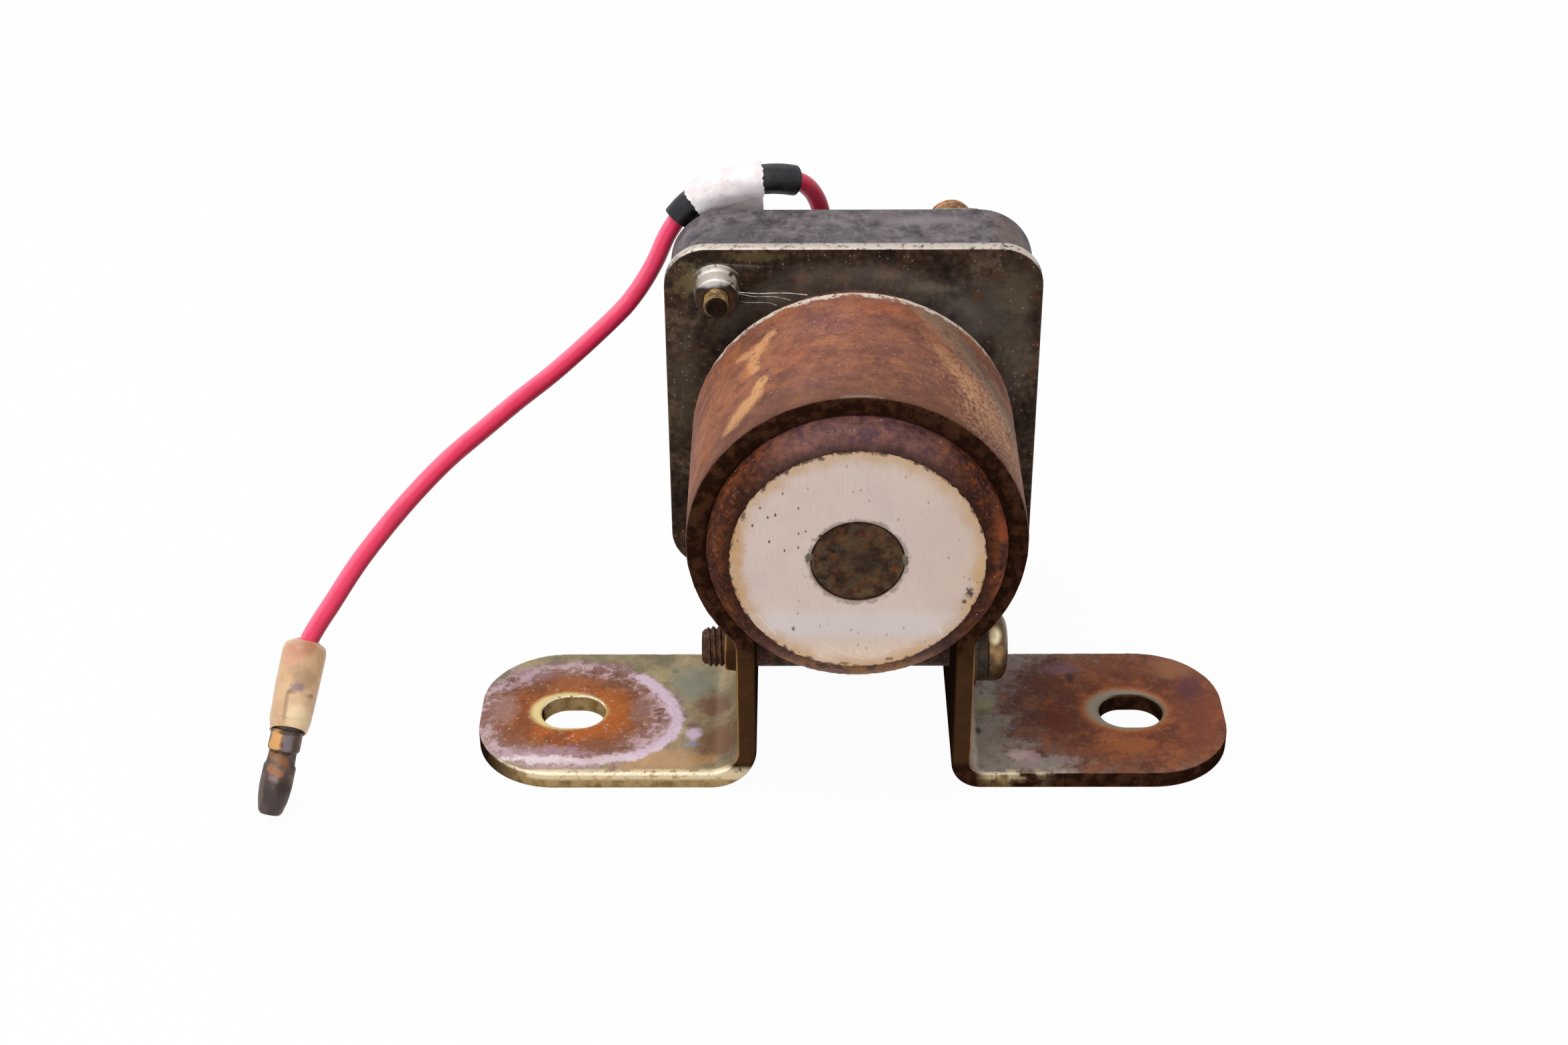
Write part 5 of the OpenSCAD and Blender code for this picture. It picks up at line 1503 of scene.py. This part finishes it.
# Flange plate: square steel plate staked to the can, with two tapped collars to the front.
# Bare worn steel under brown dirt, rubbed along its top edge and with a painted highlight on its upward
# and side facing edges.
plate_half = 22.9
plate_front = 17.4
plate_back = 18.9
plate_corner = 5.2
plate_edge_r = 0.3
tapped_r = 1.53


def square_ring(half, corner, y, steps=10):
    """Square outline with rounded corners about the can's axis, seen from the front."""
    ring = []
    for quarter in range(4):
        for i in range(steps + 1):
            a = math.radians(90 * quarter + 90 * i / steps)
            nudged = a + (-1e-6 if i == steps else 1e-6)
            x = math.copysign(half - corner, math.cos(nudged)) + corner * math.cos(a)
            z = math.copysign(half - corner, math.sin(nudged)) + corner * math.sin(a)
            ring.append(Vector((x, y, axis_height + z)) * MM)
    return ring


plate_rings = []
for step in range(5):
    a = math.radians(22.5 * step)
    drawn_in = plate_edge_r * (1 - math.sin(a))
    plate_rings.append(square_ring(plate_half - drawn_in, plate_corner - drawn_in,
                               plate_front + plate_edge_r * (1 - math.cos(a))))
plate_rings.append(square_ring(plate_half, plate_corner, plate_back - 0.1))
plate_rings.append(square_ring(plate_half - 0.1, plate_corner - 0.1, plate_back))
plate = skin("flange_plate_dressed", plate_rings)
for x, z, bore_r in ((0.0, axis_height, 6.1), (exit_point.x, exit_point.z, 1.4)):
    spot_place = lengthways(x, 0, z)
    cut(plate, turned("bore", [(plate_front - 2, bore_r), (plate_back + 2, bore_r)], spot_place, 64))
corner_x, corner_rise = 16.5, 17.4
corner_spots = ((-corner_x, axis_height + corner_rise), (corner_x, axis_height - corner_rise))
for x, z in corner_spots:
    spot_place = lengthways(x, 0, z)
    cut(plate, turned("collar", eased_corners([
        (plate_front + 0.5, 0.1), (plate_front + 0.5, 3.6), (plate_front - 0.02, 3.5),
        (plate_front - 0.4, 2.75), (plate_front - 2.4, 2.6), (plate_front - 2.4, 0.1),
    ], 0.3), spot_place, 48), "UNION")
    cut(plate, turned("bore", [(plate_front - 4, tapped_r), (plate_back + 2, tapped_r)], spot_place, 40))

paint, tree, shader, place = material("plate_steel")
xyz = split(tree, place)
facing = facing_of(tree)
broad = cloudy(tree, place, 5.0, 7.0)
fine = cloudy(tree, place, 0.8, 6.0)
both = blended(tree, broad, fine, 0.55)
base = shades(tree, both, (0.38, "#1a110d"), (0.46, "#2e2018"), (0.53, "#3f2f24"), (0.63, "#605040"))
base = marked(tree, place, base, [
    ((15.0, 17.4, 50.0), (7, 2, 6), "#5d5552", 0.55, 0.8, 2.2),
    ((19.5, 17.4, 44.0), (4, 2, 8), "#5a5046", 0.5, 0.8, 2.2),
    ((-19.8, 17.4, 54.2), (2.8, 2, 3.2), "#77694a", 0.6, 1.1, 1.4),
    ((-12.0, 17.4, 57.2), (5.0, 2, 0.9), "#6a5e3c", 0.5, 1.2, 1.0),
    ((19.5, 17.4, 52.0), (3.4, 2, 5.0), "#6a5f4a", 0.5, 1.1, 1.6),
    # Painted shadow: a dark band on the plate just above the strap's top.
    ((0.0, 17.4, 55.4), (9, 2, 1.4), "#241916", 0.5, 1.0, 1.4),
    ((8.5, 17.4, 53.0), (4.4, 2, 1.0), "#857868", 0.45, 1.4, 0.8),
    ((-9.5, 17.4, 51.8), (3.0, 2, 1.2), "#7a6c5c", 0.45, 1.4, 0.8),
    ((-20.5, 17.4, 40.0), (2.6, 2, 10), "#54483a", 0.6, 0.9, 2.0),
    ((-6.2, 17.4, 54.2), (1.7, 2, 1.1), "#6e4530", 0.8, 0.9, 0.7),
    ((-1.4, 17.4, 54.3), (1.8, 2, 0.9), "#6a4634", 0.75, 0.9, 0.7),
    ((4.0, 17.4, 54.6), (2.2, 2, 0.9), "#7a6250", 0.6, 1.0, 0.7),
    ((13.6, 17.4, 43.5), (2.4, 2, 5), "#6f6552", 0.45, 1.0, 1.0),
])
rusty = clouds(tree, place, 2.6, 0.58, 0.68)
base = overlaid(tree, base, rusty, "#5e3c28", 0.55)
grains = use(tree, SPECKS, Place=place, Size=0.5, Amount=0.14, Dot=0.28)["Mask"]
base = overlaid(tree, base, grains, "#a89a8a", 0.45)


def on_collars(offset, reach, soft, ragged):
    """Stain at the same spot of both collars."""
    masks = [use(tree, STAIN, Place=place, Centre=(x + offset[0], offset[1], z + offset[2]),
                 Reach=reach, Soft=soft, Ragged=ragged, Grain=0.7)["Mask"] for x, z in corner_spots]
    return calc(tree, "MAXIMUM", *masks)


base = layered(tree, base, [
    (on_collars((0, 15.6, -0.6), (3.2, 2.6, 3.0), 0.3, 0.4), "#4c382a", 0.9),
    # Painted highlight: a pale grey crescent on the upper part of each collar.
    (on_collars((-0.7, 15.7, 2.5), (2.9, 2.4, 1.4), 0.6, 0.35), "#e2e2e2"),
])
haze = product(tree, between(tree, graded(tree, from_axis(tree, xyz), broad, 5.0), 24.6, 22.0),
               between(tree, xyz["Z"], 44.0, 51.0), between(tree, broad, 0.3, 0.5), 0.3)
base = overlaid(tree, base, haze, "#978a7e")
# Painted highlight: the plate's upward and side facing edges are painted pale, in patches.
sideways = calc(tree, "MULTIPLY", calc(tree, "ABSOLUTE", facing["X"]), 0.42)
outward = calc(tree, "MAXIMUM", facing["Z"], sideways)
rim = product(tree, between(tree, outward, 0.3, 0.6), between(tree, fine, 0.3, 0.5))
base = overlaid(tree, base, rim, "#dacdc1", 0.8)
shade(tree, shader, Base_Color=base, Metallic=graded(tree, 0.15, rim, 0.4),
      Roughness=graded(tree, 0.5, rusty, 0.2), Specular_IOR_Level=0.1)
bumped(tree, shader, both, 0.09)
finish_piece(plate, paint, "housing", "flange_plate", slot="rusty_steel", sharp=50)


# Cobweb: a few pale strands of spider's thread with lint on them. They are strung from the
# upper collar to the rear edge of the strap, where the photograph shows them.
def strand(points, radius):
    line = eased_line([Vector(p) * MM for p in points], 8)
    return skin("strand", [around(f, lambda a: radius, 6) for f in frames(line)])


cobweb = joined("cobweb", [
    strand([(-13.9, 16.0, 53.2), (-11.5, 16.0, 53.0), (-8.4, 15.0, 53.6), (-5.6, 12.6, 54.6)], 0.05),
    strand([(-13.9, 16.2, 52.9), (-12.0, 16.2, 52.5), (-9.6, 15.2, 53.0), (-7.6, 12.6, 53.9)], 0.03),
    strand([(-14.2, 16.8, 51.6), (-12.8, 16.6, 51.5), (-10.4, 15.0, 52.3), (-9.2, 12.6, 53.2)], 0.025),
])
paint, tree, shader, place = material("cobweb_dust")
lint = clouds(tree, place, 0.7, 0.35, 0.6, 3.0)
shade(tree, shader, Base_Color=overlaid(tree, "#cfc8be", lint, "#fbf8f2"),
      Alpha=graded(tree, 0.3, lint, 0.4), Roughness=graded(tree, 0.7, lint, 0.2))
bumped(tree, shader, lint, 0.02)
finish_piece(cobweb, paint, "housing")


# Terminal cap: a box moulded of dark phenolic, dull, with dust and smears on top. Two long
# screws from behind hold it to the flange plate, over the insulating sheet.
paint, tree, shader, place = material("cap_moulding")
broad = cloudy(tree, place, 3.0, 6.0)
fine = cloudy(tree, place, 0.6, 4.0)
both = blended(tree, broad, fine, 0.55)
base = shades(tree, both, (0.38, "#2a2629"), (0.5, "#3f393d"), (0.62, "#574f54"))
dust = use(tree, DUST, Place=place, Amount=0.85, Size=2.4)["Mask"]
base = overlaid(tree, base, dust, "#84797d")
base = marked(tree, place, base, [
    ((19.5, 24.0, 57.0), (3.5, 7, 3), "#6e584c", 0.6, 1.0, 1.4),
    ((-14.0, 22.0, 57.9), (6, 3.5, 2), "#453e41", 0.7, 1.0, 1.6),
    ((0.0, 21.5, 57.9), (7, 1.8, 2), "#4b4447", 0.5, 1.1, 1.4),
    ((9.0, 26.0, 57.9), (6, 1.8, 2), "#94898c", 0.4, 1.2, 1.2),
])
streak = clouds(tree, vector_calc(tree, "MULTIPLY", place, (1.0, 0.35, 1.0)), 1.0, 0.55, 0.68, 3.0)
base = overlaid(tree, base, streak, "#a2969a", 0.2)
rubbed_and_lit = use(tree, EDGES, Width=0.35)["Mask"]
base = overlaid(tree, base, product(tree, rubbed_and_lit, between(tree, fine, 0.35, 0.55), 0.4), "#8f8584")
shade(tree, shader, Base_Color=base, Roughness=0.66, Specular_IOR_Level=0.3)
bumped(tree, shader, both, 0.06)
dress(paint, "terminal_cap")


# Cap screws: two long passivated steel screws from behind the cap, through the sheet, into
# the plate's tapped collars. Only their dark tips show from the front.
cap_rear = 29.3
tip_front = 12.5
screws = []
for x, z in corner_spots:
    spot_place = lengthways(x, 0, z)
    profile = [(tip_front, 0.05), (tip_front, 1.1), (tip_front + 0.25, 1.35)]
    profile += rod(tip_front + 0.35, cap_rear + 0.6, 1.45, 0.08)
    profile += eased_corners([
        (cap_rear + 0.7, 1.5), (cap_rear + 0.7, 2.7), (cap_rear + 0.9, 2.8), (cap_rear + 1.6, 2.75),
        (cap_rear + 2.2, 2.2), (cap_rear + 2.5, 1.2), (cap_rear + 2.5, 0.05),
    ], 0.25)
    screw = turned("cap_screw", profile, spot_place, 40, shape=threaded(1.2, 1.48, 0.5, 12.6, 20.0))
    for wedge in cross_cutter(spot_place, 1.3, cap_rear + 2.5, 3.0, 0.7):
        cut(screw, wedge)
    screws.append(screw)
cap_screws = joined("cap_screws_dressed", screws)
screw_tone = worn_metal("passivated_screw", ("#4a3420", "#7c5c36", "#a8884e"), "#e2c58c", 0.5, 0.4,
                        size=1.0)
finish_piece(cap_screws, screw_tone, "housing", "cap_screws", slot="passivated_steel")
tip_tone = worn_metal("dark_tip", ("#120b07", "#20140d", "#34241a"), "#4a3828", 0.05, 0.7, size=0.8,
                      shine=0.05)
repaint(cap_screws, tip_tone, lambda at: at.y < 12.9 * MM)
dress(dull, "cap_screw_washers")


# Terminals: two copper studs held in the cap by nuts, with washers under them. Their free
# ends take the cables; the threads are full size there.
stud_x, stud_rise = 13.2, 14.0
head_front, head_rear = 19.45, 20.7
stud_end = 44.4
full_from = 36.7
studs = []
for x, z in ((stud_x, axis_height + stud_rise), (-stud_x, axis_height - stud_rise)):
    spot_place = lengthways(x, 0, z)
    profile = [(head_front, 0.05)] + eased_corners([
        (head_front, 0.4), (head_front, 3.7), (head_rear, 3.7), (head_rear, 2.7),
    ], 0.2)
    profile += rod(head_rear + 0.1, stud_end - 0.6, 2.6, 0.12)
    profile += [(stud_end - 0.3, 2.45), (stud_end, 2.2), (stud_end, 0.05)]
    thread = threaded(2.4, lambda along: 2.98 if along > full_from else 2.68, 1.0, cap_rear + 0.3,
                      stud_end - 0.2)
    studs.append(turned("stud", profile, spot_place, 56, shape=thread))
terminal_studs = joined("studs_dressed", studs)
copper = worn_metal("tarnished_copper", ("#6a4630", "#a0714e", "#c6946c"), "#e8bc94", 0.6, 0.42,
                    size=1.6, grime="#4c3526", dirt=0.5)
finish_piece(terminal_studs, copper, "housing", "terminal_studs", slot="copper")
dress(copper, "contact_blades", "contact_disc")
nut_tone = worn_metal("plated_nut", ("#4a4238", "#7a6f5c", "#a0957e"), "#cfc4ac", 0.6, 0.42, size=1.8)
dress(nut_tone, "stud_flat_washers", "stud_lock_washers", "stud_nuts")


# Inside: the coil on its bobbin, the plunger with its stem, and the two coil springs.
# None of it shows from outside, so tones are those of clean new parts with a little age.
axis_line = lengthways(0, 0, axis_height)
wire_d = 0.55
winding_front, winding_rear = -14.0, 17.0
winding_inner, winding_outer = 7.4, 14.95
winding_profile = [(winding_front, winding_inner)]
for i in range(int((winding_rear - winding_front) / wire_d)):
    for j in range(4):
        groove = 0.14 * abs(math.cos(math.pi * j / 4))
        winding_profile.append((winding_front + wire_d * (i + j / 4), winding_outer - groove))
winding_profile += [(winding_rear, winding_outer - 0.15), (winding_rear, winding_inner)]
winding = turned("copper_winding", winding_profile, axis_line, 96, hollow=True)
enamel = worn_metal("coil_enamel", ("#6e3520", "#96502c", "#b46a3c"), "#c88858", 0.45, 0.32, size=2.0,
                    dirt=0.2)
finish_piece(winding, enamel, "housing", "winding", slot="copper")


def coil(name, outer_r, wire_r, start, end, turns):
    """Round wire coiled about the can's axis, its end turns closed flat."""
    steps = int(turns * 36)
    points = []
    for i in range(steps + 1):
        share = i / steps
        eased = (share * turns - 0.5) / (turns - 1)
        eased = min(1.0, max(0.0, eased))
        along = start + wire_r + (end - start - 2 * wire_r) * eased
        angle = 2 * math.pi * turns * share
        points.append(axis_line @ Vector(((outer_r - wire_r) * math.cos(angle),
                                          (outer_r - wire_r) * math.sin(angle), along)))
    return skin(name, [around(f, lambda a: wire_r, 12) for f in frames(points)])


spring_tone = worn_metal("spring_wire", ("#5c5c5a", "#83837f", "#a8a8a2"), "#d0d0ca", 0.85, 0.3,
                         size=1.2, dirt=0.2)
return_spring = coil("return_coil", 3.25, 0.35, -6.25, 5.15, 7)
finish_piece(return_spring, spring_tone, "housing", "return_spring", slot="spring_steel")
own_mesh(return_spring)
contact_spring = coil("contact_coil", 3.0, 0.25, 24.35, 26.45, 2.5)
finish_piece(contact_spring, spring_tone, "armature", "contact_spring", slot="spring_steel")
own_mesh(contact_spring)
dress(spring_tone, "retaining_clip")
dress(worn_metal("plunger_iron", ("#4c4a48", "#74706a", "#96928a"), "#c4c0b8", 0.8, 0.34, size=3.0,
                 dirt=0.3), "plunger")
dress(worn_metal("stem_brass", ("#7a5f34", "#a88a50", "#c8ac70"), "#e6d09c", 0.8, 0.3, size=2.0,
                 dirt=0.3), "plunger_stem")


def moulded(name, tones, roughness, size=2.0, depth=0.03):
    """Moulding, fibre or rubber in three tones, dark to light."""
    made, tree, shader, place = material(name)
    broad = cloudy(tree, place, size, 6.0)
    grain = cloudy(tree, place, size / 6, 3.0)
    both = blended(tree, broad, grain, 0.5)
    base = shades(tree, both, (0.38, tones[0]), (0.5, tones[1]), (0.62, tones[2]))
    dust = use(tree, DUST, Place=place, Amount=0.3, Size=2.0)["Mask"]
    base = overlaid(tree, base, dust, tones[2])
    shade(tree, shader, Base_Color=base, Roughness=graded(tree, roughness, grain, 0.15),
          Specular_IOR_Level=0.35)
    bumped(tree, shader, both, depth)
    return made


dress(moulded("bobbin_nylon", ("#1d1b1d", "#2c292b", "#413c3f"), 0.42), "bobbin", "insulating_bush")
dress(moulded("fibre_board", ("#5e3f26", "#7f5a38", "#9c764e"), 0.62), "insulator_sheet")
dress(moulded("grommet_rubber", ("#141416", "#212124", "#37363a"), 0.5, size=1.2), "lead_grommet")
